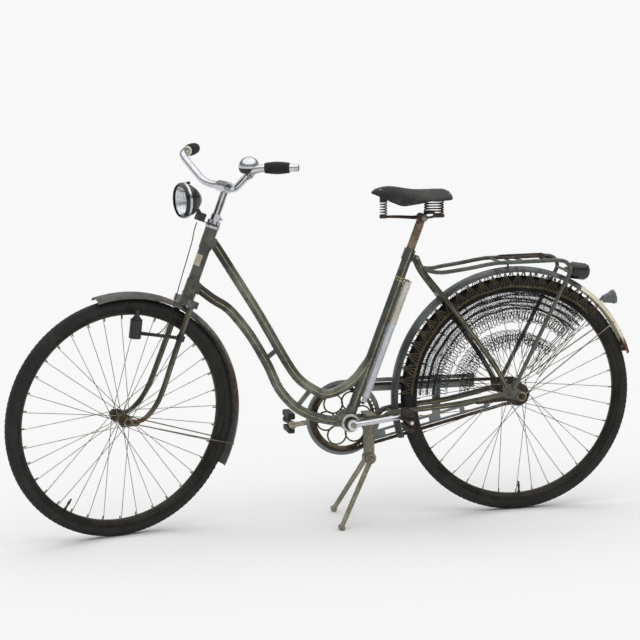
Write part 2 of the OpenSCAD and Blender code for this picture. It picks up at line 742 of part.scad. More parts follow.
module front_mudguard() color("slategray") steered() {
    translate(front_guard_at) turned(front_guard_from, front_guard_to - front_guard_from) guard_section();
    on_axis(crown_low - 6) cylinder(h = 6, r = 4);
}

module front_guard_stays() color("silver") steered() both_sides()
    guard_stays(front_hub_at, front_guard_at, front_drop + front_drop_t, front_axle_d / 2, front_nut_r, 197);

module stem() color("lightgray") steered() {
    difference() {
        union() {
            rod(head_foot + (steer_top - 60) * axis_up, clamp_at - 6 * axis_fwd, quill_r);
            on_axis(steer_top + 0.2) cylinder(h = 18, r = 14.5);
            across(head_foot + (steer_top + 9) * axis_up - 15 * axis_fwd, -11, 11, 4);
            knocked() across(clamp_at, -27, 27, 16.5);
        }
        knocked() across(clamp_at, -28, 28, bar_d / 2);
    }
}

bar_low = clamp_at + [16, 0.15 * bar_w, 4];
bar_high = clamp_at + [22, 0.37 * bar_w, bar_rise];
bar_end = clamp_at + [-71, bar_w / 2, bar_rise + 1];
bar_dir = unit(bar_end - bar_high);
half_bar = concat(corner(clamp_at + [0, 50, 0], bar_low, bar_high, 30),
    corner(bar_low, bar_high, bar_end, 38), [bar_end - 60 * bar_dir, bar_end]);
bar_path = concat([for (i = [len(half_bar) - 1 : -1 : 0]) mirrored(half_bar)[i]],
    [clamp_at - [0, 50, 0], clamp_at + [0, 50, 0]], half_bar);
end_bore_r = bar_d / 2 - 1.9;
end_bore_l = 26;

module handlebar() color("lightgray") steered() knocked() difference() {
    bent(bar_path, bar_d / 2 - 0.05, 20, [1, 0, 0]);
    rod(bar_end - end_bore_l * bar_dir, bar_end + bar_dir, end_bore_r);
}

grip_len = 70;
stub = 25;

// a barrel grip that starts at p and points along the bar
module grip(p, dir) translate(p) rotate([0, acos(dir.z), atan2(dir.y, dir.x)]) rotate_extrude()
    polygon([[bar_d / 2, 0], [bar_d / 2 + 3.5, 0], [bar_d / 2 + 5.8, grip_len * 0.25], [bar_d / 2 + 6.6, grip_len * 0.5],
        [bar_d / 2 + 5.8, grip_len * 0.75], [bar_d / 2 + 3.5, grip_len], [bar_d / 2, grip_len]]);

module grips() color("black") steered() knocked() {
    grip(bar_end - (stub + grip_len) * bar_dir, bar_dir);
    mirror([0, 1, 0]) grip(bar_end - (grip_len + 1) * bar_dir, bar_dir);
}

bell_at = bar_low + 0.7 * (bar_high - bar_low);
bell_r = 30;

module bell() color("lightgray") steered() knocked() {
    difference() {
        rod(bell_at - 7 * unit(bar_high - bar_low), bell_at + 7 * unit(bar_high - bar_low), bar_d / 2 + 3);
        rod(bell_at - 8 * unit(bar_high - bar_low), bell_at + 8 * unit(bar_high - bar_low), bar_d / 2 + 0.2);
    }
    translate(bell_at + [0, 0, 15]) cylinder(h = 12, r = 5);
    translate(bell_at + [0, 0, 20]) rotate_extrude() intersection() {
        difference() {
            circle(bell_r);
            circle(bell_r - 2);
        }
        square(bell_r);
    }
    translate(bell_at + [0, 0, 20]) cylinder(h = 3, r = bell_r - 1);
}

lamp_r = lamp_d / 2;
lamp_at = head_top + [97, 0, 88];

// outline of the lamp's body, [behind the lens, radius]
function lamp_line(t) = [[lamp_r - 3 - t, 4], [lamp_r - t, 0], [lamp_r - t, -12], [lamp_r - 3 - t, -14],
    [lamp_r * 0.88 - t, -28], [lamp_r * 0.66 - t, -44], [lamp_r * 0.36, -57 + t], [0, -62 + t]];

module headlamp() color("black") steered() translate(lamp_at) rotate([0, 90, 0]) rotate_extrude()
    difference() {
        polygon(concat(lamp_line(0), [[0, 4]]));
        polygon(concat([[0, 5], [lamp_r - 6, 5]], [for (i = [1 : 7]) lamp_line(3)[i]]));
    }

module lamp_lens() color("white") steered() translate(lamp_at) rotate([0, 90, 0])
    translate([0, 0, -4]) cylinder(h = 3, r = lamp_r - 3);

module lamp_bracket() color("black") steered() on_axis(head_len + cup_h + 1) {
    difference() {
        union() {
            cylinder(h = bracket_t, r = 19);
            translate([0, -9, 0]) cube([52, 18, bracket_t]);
            translate([36, -12, 0]) cube([22, 24, 24]);
            rod([50, 0, 18], [66.5, 0, 30.5], 6);
        }
        translate([0, 0, -1]) cylinder(h = bracket_t + 2, r = steer_r);
    }
}

dynamo_turn = 96;
dynamo_y = 41;
dynamo_dir = [cos(dynamo_turn), 0, sin(dynamo_turn)];
function on_dynamo(h) = front_hub_at + h * dynamo_dir + [0, dynamo_y, 0];
dynamo_grip = axis_foot + (head_rise - 128) * axis_up + [0, dynamo_y, 0];

module dynamo() color("black") steered() {
    rod(on_dynamo(wheel_r - 106), on_dynamo(wheel_r - 52), 17.5);
    rod(on_dynamo(wheel_r - 52), on_dynamo(wheel_r - 46), 12);
    rod(on_dynamo(wheel_r - 46), on_dynamo(wheel_r - 24), 8);
    rod(dynamo_grip, on_dynamo(wheel_r - 90), 5);
    rod(dynamo_grip - 8 * axis_up, dynamo_grip + 8 * axis_up, blade_d / 2 + 3.5);
}

lead_route = [[951, 6, 902], [960, 8, 882], [969, 12, 850], [985, 18, 808], [1002, 24, 766], [1017, 30, 728],
    [1030, 34, 692], [1044, 38, 655], [1060, 44, 624], [1084, 50, 604], [1114, 51, 598], [1142, 49, 602]];

module dynamo_lead() color("black") steered() bent(smooth(lead_route, 3), 1.5, 8);

// ---- wheels ----

module rim_section() polygon([[rim_out - rim_depth, -6], [rim_out - 16, -12], [rim_out - 10, -rim_half],
    [rim_out, -rim_half], [rim_out, 3 - rim_half], [rim_out - 11, 3 - rim_half], [rim_out - 14, -7],
    [rim_out - 14, 7], [rim_out - 11, rim_half - 3], [rim_out, rim_half - 3], [rim_out, rim_half],
    [rim_out - 10, rim_half], [rim_out - 16, 12], [rim_out - rim_depth, 6]]);

module tyre_section() intersection() {
    translate([wheel_r - tyre_r, 0]) difference() {
        circle(tyre_r);
        circle(tyre_r - 3.5);
    }
    translate([rim_out, -tyre_w]) square([tyre_w, 2 * tyre_w]);
}

// crossed spokes between two flanges and the rim
module spokes(flange_y, flange_r) {
    half = spoke_n / 2;
    for (s = [-1, 1]) for (k = [0 : half - 1]) {
        a = (k + (s + 1) / 4) * 360 / half;
        b = a + (k % 2 == 0 ? 1 : -1) * 62;
        rod([flange_r * cos(b), s * flange_y, flange_r * sin(b)],
            [(rim_out - 15) * cos(a), s * 2.5, (rim_out - 15) * sin(a)], spoke_d / 2, $fn = 16);
    }
}

front_flange = [30, 16];
rear_flange = [30, 30];

module front_hub() color("silver") steered() translate(front_hub_at) turned() polygon([
    [front_axle_d / 2 + run, -front_hub_half], [9, -front_hub_half], [12, -34], [19, -31.5], [19, -28.5],
    [11, -26], [10, 0], [11, 26], [19, 28.5], [19, 31.5], [12, 34], [9, front_hub_half],
    [front_axle_d / 2 + run, front_hub_half]]);

module rear_hub() color("silver") translate(rear_hub_at) turned() polygon([
    [rear_axle_d / 2 + run, hub_right], [13, hub_right], [13, ring_ty[0]], [17, ring_ty[0]], [17, ring_ty[1]],
    [20, -38], [34, -31.5], [34, -28.5], [25, -25], [23, 0], [24, 22], [34, 28.5], [34, 31.5],
    [24, 35], [22, hub_left], [rear_axle_d / 2 + run, hub_left]]);

module front_spokes() color("silver") steered() translate(front_hub_at) spokes(front_flange[0], front_flange[1]);

module rear_spokes() color("silver") translate(rear_hub_at) spokes(rear_flange[0], rear_flange[1]);

module front_rim() color("dimgray") steered() translate(front_hub_at) turned() rim_section();

module rear_rim() color("dimgray") translate(rear_hub_at) turned() rim_section();

module front_tyre() color("black") steered() translate(front_hub_at) turned() tyre_section();

module rear_tyre() color("black") translate(rear_hub_at) turned() tyre_section();

// ---- cranks, pedals and stand ----

left_pedal_at = bb + crank_len * left_dir;
right_pedal_at = bb - crank_len * left_dir;
crank_out = crank_in + crank_t;
pin_len = pedal_len + 8;

module crank_spindle() color("silver") across(bb, -crank_out - 3, crank_out + 3, spindle_r);

// the crank on the left, pointing along dir
module crank(dir, eye_from) {
    tip = bb + crank_len * dir + [0, crank_in + crank_t / 2, 0];
    difference() {
        union() {
            across(bb, eye_from, crank_out, 15.5);
            rod(bb + [0, crank_in + crank_t / 2, 0], tip, 8.5, 7.5);
            across(tip, crank_in, crank_out, 11);
            across(tip, crank_out - 1, crank_out + pin_len, pedal_pin_r);
        }
        across(bb, eye_from - 1, crank_out + 1, spindle_r);
    }
}

module cranks() color("silver") {
    crank(left_dir, crank_in);
    mirror([0, 1, 0]) crank(-left_dir, -ring_ty[0]);
}

block_z = 25;

// the metal of a left pedal
module pedal(at) difference() {
    union() {
        across(at, crank_out + 4, crank_out + 4 + pedal_len, 9);
        for (y = [crank_out + 4, crank_out + 1 + pedal_len]) side_plate(y, y + 3)
            link(side(at) - [0, block_z], side(at) + [0, block_z], 11, 11);
        for (s = [-1, 1]) across(at + [0, 0, s * block_z], crank_out + 4, crank_out + 4 + pedal_len, 3);
    }
    across(at, crank_out + 3, crank_out + 5 + pedal_len, pedal_pin_r + run);
}

// its two rubber blocks
module blocks(at) for (s = [-1, 1]) difference() {
    translate(at + [-12, crank_out + 7.2, s * block_z - 11]) cube([24, pedal_len - 6.4, 22]);
    across(at + [0, 0, s * block_z], crank_out, crank_out + 10 + pedal_len, 3);
}

module left_pedal() color("saddlebrown") pedal(left_pedal_at);

module left_pedal_blocks() color("black") blocks(left_pedal_at);

module right_pedal() color("saddlebrown") mirror([0, 1, 0]) pedal(right_pedal_at);

module right_pedal_blocks() color("black") mirror([0, 1, 0]) blocks(right_pedal_at);

foot_at = [pivot.x + sqrt(pow(stand_leg, 2) - pow(pivot.z - foot_r, 2)), stand_w / 2, foot_r];

// the leg on the left, with its foot moved back
module stand_side(back) {
    foot = foot_at - [back, 0, 0];
    across(pivot, boss_y + 1, boss_y + 11, 15);
    rod(pivot + [4, boss_y + 10, -8], foot, 8, 7);
    across(foot, foot.y - 10, foot.y + 12, foot_r);
}

module centre_stand() color("tan") {
    across(pivot, -boss_y - 12, boss_y + 12, pivot_r);
    stand_side(0);
    mirror([0, 1, 0]) stand_side(stand_bend);
}

head_tube();
top_tube();
down_tube();
frame_braces();
seat_tube();
bottom_bracket();
chain_stays();
seat_stays();
rear_dropouts();
rear_axle();
coaster_arm();
seat_post();
saddle_cover();
saddle_frame();
saddle_springs();
rear_mudguard();
mudguard_tail();
rear_guard_stays();
carrier();
carrier_clip();
tail_lamp();
rear_reflector();
chain_guard();
chain();
pump();
stand_bracket();
skirt_nets();
steerer();
fork_blades();
front_axle();
front_mudguard();
front_guard_stays();
stem();
handlebar();
grips();
bell();
headlamp();
lamp_lens();
lamp_bracket();
dynamo();
dynamo_lead();
front_hub();
front_spokes();
front_rim();
front_tyre();
rear_hub();
sprocket();
rear_spokes();
rear_rim();
rear_tyre();
crank_spindle();
chainring();
cranks();
left_pedal();
left_pedal_blocks();
right_pedal();
right_pedal_blocks();
centre_stand();
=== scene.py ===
# Weathered step-through bicycle: finishes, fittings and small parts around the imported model.
import json
import math
import random
import bpy
from mathutils import Matrix, Vector

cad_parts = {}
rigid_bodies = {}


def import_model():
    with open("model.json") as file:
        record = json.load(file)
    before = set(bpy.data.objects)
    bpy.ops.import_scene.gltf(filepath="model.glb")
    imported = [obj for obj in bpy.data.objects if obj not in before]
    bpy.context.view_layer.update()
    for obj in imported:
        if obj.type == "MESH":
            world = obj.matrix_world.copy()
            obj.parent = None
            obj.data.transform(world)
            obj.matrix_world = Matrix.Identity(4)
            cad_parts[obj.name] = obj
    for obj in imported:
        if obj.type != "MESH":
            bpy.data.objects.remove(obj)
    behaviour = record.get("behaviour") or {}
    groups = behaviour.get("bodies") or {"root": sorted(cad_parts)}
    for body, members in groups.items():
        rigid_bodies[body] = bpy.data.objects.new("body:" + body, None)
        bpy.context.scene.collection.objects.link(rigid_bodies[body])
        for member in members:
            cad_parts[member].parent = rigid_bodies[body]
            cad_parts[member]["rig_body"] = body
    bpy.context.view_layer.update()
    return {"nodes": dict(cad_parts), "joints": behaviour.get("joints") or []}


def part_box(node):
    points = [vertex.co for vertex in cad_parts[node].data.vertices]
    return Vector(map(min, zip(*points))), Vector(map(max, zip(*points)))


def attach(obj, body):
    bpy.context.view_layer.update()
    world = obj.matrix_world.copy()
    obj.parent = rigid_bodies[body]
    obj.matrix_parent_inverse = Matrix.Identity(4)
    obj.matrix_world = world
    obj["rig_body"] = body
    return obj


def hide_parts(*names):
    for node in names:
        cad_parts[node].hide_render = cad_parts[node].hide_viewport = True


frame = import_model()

nodes = frame["nodes"]
joints = {joint["name"]: joint for joint in frame["joints"]}
mm = 0.001


def jointAt(name):
    return Vector(joints[name]["pos_m"])


def jointAxis(name):
    return Vector(joints[name]["axis"]).normalized()


def middle(node):
    low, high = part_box(node)
    return (low + high) / 2


rearHub = jointAt("rear_wheel_spin")
frontHub = jointAt("front_wheel_spin")
frontAxle = jointAxis("front_wheel_spin")
crankAxle = jointAt("crank_spin")
headFoot = jointAt("steering")
axisUp = jointAxis("steering")
axisFwd = Vector((axisUp.z, 0, -axisUp.x))
left = Vector((0, 1, 0))
steerTurn = math.atan2(-frontAxle.dot(axisFwd), frontAxle.y)
tubes = {"headLength": 0.195, "seatLength": 0.534, "seatAngle": math.radians(68.5)}
headTop = headFoot + axisUp * tubes["headLength"]
seatDir = Vector((-math.cos(tubes["seatAngle"]), 0, math.sin(tubes["seatAngle"])))
wheelR = rearHub.z


class Wire:  # a socket that can be added, multiplied and compared like a number
    def __init__(self, paint, socket):
        self.paint = paint
        self.socket = socket

    def maths(self, operation, first, second=None):
        values = {0: first}
        if second is not None:
            values[1] = second
        return self.paint.node("ShaderNodeMath", {"operation": operation}, values)

    def __add__(self, other):
        return self.maths("ADD", self, other)

    def __radd__(self, other):
        return self.maths("ADD", other, self)

    def __sub__(self, other):
        return self.maths("SUBTRACT", self, other)

    def __rsub__(self, other):
        return self.maths("SUBTRACT", other, self)

    def __mul__(self, other):
        return self.maths("MULTIPLY", self, other)

    def __rmul__(self, other):
        return self.maths("MULTIPLY", other, self)

    def __truediv__(self, other):
        return self.maths("DIVIDE", self, other)

    def __abs__(self):
        return self.maths("ABSOLUTE", self)

    def sine(self):
        return self.maths("SINE", self)

    def angleTo(self, other):
        return self.maths("ARCTAN2", self, other)

    def ramp(self, low, high, start=0.0, end=1.0):  # rises smoothly from start to end between low and high
        return self.paint.node("ShaderNodeMapRange", {"interpolation_type": "SMOOTHSTEP"},
                               {0: self, 1: low, 2: high, 3: start, 4: end})


class Paint:  # one material and the nodes that make it
    def __init__(self, name, **fixed):
        self.material = bpy.data.materials.new(name)
        self.material.use_nodes = True
        self.tree = self.material.node_tree
        self.shader = self.tree.nodes["Principled BSDF"]
        for socket, value in fixed.items():
            self.shader.inputs[socket.replace("_", " ")].default_value = value
        self.place = self.node("ShaderNodeTexCoord", {}, {}, "Object")

    def node(self, kind, settings, values, out=0):
        made = self.tree.nodes.new(kind)
        for key, value in settings.items():
            if key == "stops":
                ramp = made.color_ramp
                while len(ramp.elements) < len(value):
                    ramp.elements.new(0.5)
                for element, (at, tint) in zip(ramp.elements, value):
                    element.position = at
                    element.color = tint
            else:
                setattr(made, key, value)
        for key, value in values.items():
            if isinstance(value, Wire):
                self.tree.links.new(value.socket, made.inputs[key])
            else:
                made.inputs[key].default_value = value
        return Wire(self, made.outputs[out])

    def noise(self, scale, detail=4.0, rough=0.55):
        return self.node("ShaderNodeTexNoise", {},
                         {"Vector": self.place, "Scale": scale, "Detail": detail, "Roughness": rough})

    def cells(self, scale, feature="F1"):
        return self.node("ShaderNodeTexVoronoi", {"feature": feature}, {"Vector": self.place, "Scale": scale})

    def mix(self, share, first, second):
        return self.node("ShaderNodeMix", {"data_type": "RGBA"}, {0: share, 6: first, 7: second}, 2)

    def near(self, point, reach):  # 1 at the point, falling to 0 at reach
        distance = self.node("ShaderNodeVectorMath", {"operation": "DISTANCE"},
                             {0: self.place, 1: tuple(point)}, "Value")
        return distance.ramp(reach * 0.35, reach, 1.0, 0.0)

    def dot(self, vector, direction):
        return self.node("ShaderNodeVectorMath", {"operation": "DOT_PRODUCT"},
                         {0: vector, 1: tuple(direction)}, "Value")

    def part(self, axis):
        return self.node("ShaderNodeSeparateXYZ", {}, {0: self.place}, "XYZ".index(axis))

    def surface(self):  # the surface's own direction, which turns with the piece
        return self.node("ShaderNodeTexCoord", {}, {}, "Normal")

    def feed(self, **links):
        for socket, value in links.items():
            name = socket.replace("_", " ")
            self.tree.links.new(value.socket, self.shader.inputs[name])

    def bump(self, height, depth, strength=0.6):
        self.feed(Normal=self.node("ShaderNodeBump", {},
                                   {"Height": height, "Distance": depth, "Strength": strength}, "Normal"))


def tint(red, green, blue):  # a colour picked in display values
    return tuple((c / 255) ** 2.2 for c in (red, green, blue)) + (1.0,)


rustTints = [(0.25, tint(38, 24, 16)), (0.48, tint(84, 50, 28)), (0.66, tint(122, 76, 40)),
             (0.85, tint(150, 104, 62))]


def rustColour(paint, scale=260.0):
    return paint.node("ShaderNodeValToRGB", {"stops": rustTints}, {"Fac": paint.noise(scale, 6.0, 0.7)},
                      "Color")


def enamel(name, coat, pale, rust=0.5, dirt=0.5, spots=(), lining=None, sheen=0.38, scuff=0.35, darkened=()):
    # coat and pale are the paint's two tones; rust and dirt are shares of the surface; darkened places are black
    paint = Paint(name)
    broad = paint.noise(9.0, 5.0, 0.6)
    fine = paint.noise(95.0, 6.0, 0.65)
    grit = paint.noise(620.0, 3.0, 0.6)
    tone = paint.mix(broad.ramp(0.35, 0.68), coat, pale)
    for point, reach in darkened:
        tone = paint.mix((paint.near(point, reach) * 1.6 + fine * 0.5 - 0.4).ramp(0.2, 0.6, 0.0, 0.85), tone,
                         tint(33, 34, 30))
    grime = (paint.noise(32.0, 6.0, 0.7) * 0.7 + fine * 0.3).ramp(0.62 - 0.25 * dirt, 0.8 - 0.2 * dirt)
    tone = paint.mix(grime * 0.75, tone, tint(40, 38, 28))
    if lining:
        stripe = lining(paint)
        worn = (fine * 0.6 + broad * 0.4).ramp(0.42, 0.52, 0.25, 0.85)
        tone = paint.mix(stripe * worn, tone, tint(176, 160, 116))
    wear = broad * 0.35 + fine * 0.5 + grit * 0.15
    edge = 0.74 - 0.3 * rust
    for point, reach, extra in spots:
        wear = wear + paint.near(point, reach) * extra
    chips = wear.ramp(edge, edge + 0.035)
    halo = wear.ramp(edge - 0.05, edge + 0.01)
    stain = paint.mix(halo * 0.55, tone, tint(98, 70, 40))
    nicks = paint.cells(340.0).ramp(0.05, 0.11, 1.0, 0.0) * paint.noise(41.0, 2.0, 0.5).ramp(0.52, 0.6) * scuff
    bare = paint.mix(nicks, stain, tint(168, 160, 138))
    paint.feed(Base_Color=paint.mix(chips, bare, rustColour(paint)))
    paint.feed(Roughness=(chips * 0.45 + grime * 0.2 + fine * 0.16 + (sheen - 0.08)).ramp(0.0, 1.0, 0.02, 0.98))
    paint.bump(chips * (grit * 1.2 + 0.3) + fine * 0.12, 0.0006, 0.7)
    return paint.material


def plated(name, bright, dull, rust=0.3, polish=0.2, metal=1.0, grain=1.0):
    paint = Paint(name)
    broad = paint.noise(14.0, 5.0, 0.6)
    fine = paint.noise(160.0, 6.0, 0.7)
    pits = paint.noise(900.0, 2.0, 0.5)
    haze = (broad * 0.5 + fine * 0.5).ramp(0.4, 0.62)
    wear = broad * 0.3 + fine * 0.45 + pits * 0.25
    edge = 0.72 - 0.3 * rust
    spots = wear.ramp(edge, edge + 0.04)
    paint.feed(Base_Color=paint.mix(spots, paint.mix(haze, bright, dull), rustColour(paint, 420.0)))
    paint.feed(Metallic=(1.0 - spots * 0.85) * metal)
    paint.feed(Roughness=haze * 0.18 * grain + spots * 0.5 + fine * 0.1 * grain + polish)
    paint.bump(spots * pits + fine * 0.1 * grain, 0.0004, 0.6)
    return paint.material


def crankPlate(name):  # the left crank still shines, the right one is dull
    paint = Paint(name)
    fine = paint.noise(160.0, 6.0, 0.7)
    shiny = paint.part("Y").ramp(0.02, 0.04)
    spots = (paint.noise(30.0, 5.0, 0.6) * 0.4 + fine * 0.6 + shiny * -0.06).ramp(0.53, 0.6)
    dull = paint.mix(fine.ramp(0.4, 0.6), tint(176, 170, 148), tint(132, 122, 98))
    paint.feed(Base_Color=paint.mix(spots, paint.mix(shiny, dull, tint(204, 206, 210)),
                                    rustColour(paint, 420.0)))
    paint.feed(Metallic=(0.35 + shiny * 0.6) * (1.0 - spots * 0.8))
    paint.feed(Roughness=0.42 - shiny * 0.26 + spots * 0.4)
    paint.bump(spots + fine * 0.2, 0.0004, 0.6)
    return paint.material


def corroded(name, base, light, depth=0.0007):
    paint = Paint(name)
    broad = paint.noise(26.0, 6.0, 0.65)
    fine = paint.noise(330.0, 6.0, 0.7)
    crust = paint.mix((broad * 0.5 + fine * 0.5).ramp(0.4, 0.62), base, light)
    dark = paint.noise(70.0, 4.0, 0.6).ramp(0.48, 0.66)
    paint.feed(Base_Color=paint.mix(dark * 0.7, crust, tint(34, 27, 21)))
    paint.feed(Roughness=fine * 0.3 + 0.55)
    paint.feed(Metallic=dark * 0.35)
    paint.bump(fine + broad * 0.6, depth, 0.75)
    return paint.material


def acrossAxle(axle):  # forward and upward, square to an axle
    forward = axle.cross(Vector((0, 0, 1))).normalized()
    return forward, forward.cross(axle).normalized()


def wheelPlace(paint, hub, axle):  # radius from the axle, offset along it, and the angle round it
    fromHub = paint.node("ShaderNodeVectorMath", {"operation": "SUBTRACT"}, {0: paint.place, 1: tuple(hub)},
                         "Vector")
    along = paint.dot(fromHub, axle)
    forward, upward = acrossAxle(axle)
    ahead = paint.dot(fromHub, forward)
    above = paint.dot(fromHub, upward)
    radius = paint.node("ShaderNodeMath", {"operation": "SQRT"}, {0: ahead * ahead + above * above})
    return radius, along, above.angleTo(ahead)


def tyreRubber(name, hub, axle):
    paint = Paint(name)
    radius, along, angle = wheelPlace(paint, hub, axle)
    dust = paint.noise(22.0, 6.0, 0.7)
    fine = paint.noise(420.0, 5.0, 0.7)
    tone = paint.mix(dust.ramp(0.4, 0.7), tint(20, 20, 19), tint(38, 37, 34))
    streak = paint.noise(60.0, 5.0, 0.6).ramp(0.58, 0.78)
    tone = paint.mix(streak * 0.2, tone, tint(70, 66, 56))
    ribGap = 0.0021
    rib = (radius * (2 * math.pi / ribGap)).sine() * 0.5 + 0.5
    rib = rib * radius.ramp(wheelR - 0.024, wheelR - 0.021, 1.0, 0.0)
    tread = radius.ramp(wheelR - 0.011, wheelR - 0.008)
    slots = ((angle * 210.0).sine() + (along * 900.0).sine() * 0.6).ramp(0.1, 0.5)
    paint.feed(Base_Color=paint.mix(tread * (1.0 - slots) * 0.45, tone, tint(20, 19, 18)))
    paint.feed(Roughness=fine * 0.25 + 0.62)
    paint.bump(rib * 0.5 + slots * tread + fine * 0.25, 0.0009, 0.7)
    return paint.material


def leather(name):
    paint = Paint(name)
    broad = paint.noise(16.0, 5.0, 0.6)
    fine = paint.noise(230.0, 6.0, 0.7)
    cracks = paint.cells(150.0, "DISTANCE_TO_EDGE").ramp(0.0, 0.06, 1.0, 0.0)
    cracks = cracks * paint.noise(24.0, 3.0, 0.6).ramp(0.44, 0.6)
    # height on the saddle's crown: the top is painted lighter, partly dust and partly a painted sheen; the low
    # skirt gets brown wear
    crownHeight = (paint.part("Z") - (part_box("saddle_cover")[1].z - 0.022)) / 0.03
    dustAndSheen = (crownHeight.ramp(0.0, 1.0) * 0.5 + broad.ramp(0.4, 0.7) * 0.5) * fine.ramp(0.3, 0.7)
    tone = paint.mix(dustAndSheen, tint(14, 13, 13), tint(42, 39, 37))
    tone = paint.mix(cracks * 0.8, tone, tint(120, 108, 92))
    edge = paint.noise(60.0, 4.0, 0.6).ramp(0.6, 0.7) * crownHeight.ramp(-1.0, 0.0, 1.0, 0.0)
    paint.feed(Base_Color=paint.mix(edge * 0.5, tone, tint(104, 62, 36)))
    paint.feed(Roughness=fine * 0.28 + broad * 0.14 + 0.36)
    paint.bump(fine * 0.5 - cracks, 0.0005, 0.75)
    return paint.material


def rubber(name, base, pale):
    paint = Paint(name)
    fine = paint.noise(380.0, 5.0, 0.7)
    broad = paint.noise(40.0, 5.0, 0.6)
    paint.feed(Base_Color=paint.mix(broad.ramp(0.4, 0.7) * fine.ramp(0.3, 0.7), base, pale))
    paint.feed(Roughness=fine * 0.3 + 0.5)
    paint.bump(fine, 0.0003, 0.5)
    return paint.material


def twine(name, base, pale):
    paint = Paint(name)
    fine = paint.noise(1500.0, 3.0, 0.6)
    broad = paint.noise(38.0, 4.0, 0.6)
    paint.feed(Base_Color=paint.mix(broad.ramp(0.45, 0.7), base, pale))
    paint.feed(Roughness=fine * 0.2 + 0.75)
    paint.bump(fine, 0.0003, 0.8)
    return paint.material


print("making finishes")
lugSpots = [(headFoot + axisUp * 0.17, 0.07, 0.03), (headFoot, 0.07, 0.05), (crankAxle, 0.09, 0.03),
            (rearHub, 0.14, 0.08), (frontHub, 0.13, 0.1)]


def liningOn(axis, low=0.9972, high=1.01, clear=None):  # a thin line along the middle of a tube's side
    def mask(paint):
        facing = abs(paint.dot(paint.surface(), axis))
        line = facing.ramp(low - 0.0012, low) * facing.ramp(high, high + 0.002, 1.0, 0.0)
        return line * (1.0 - paint.near(clear, 0.16)) if clear else line
    return mask


def twoRings(paint):  # the painted rings low on the seat tube, besides its lining
    height = paint.dot(paint.place, seatDir) - crankAxle.dot(seatDir)
    rings = sum((abs(height - at).ramp(0.0012, 0.002, 1.0, 0.0) for at in (0.438, 0.446)), 0.0)
    return rings + liningOn(left)(paint)


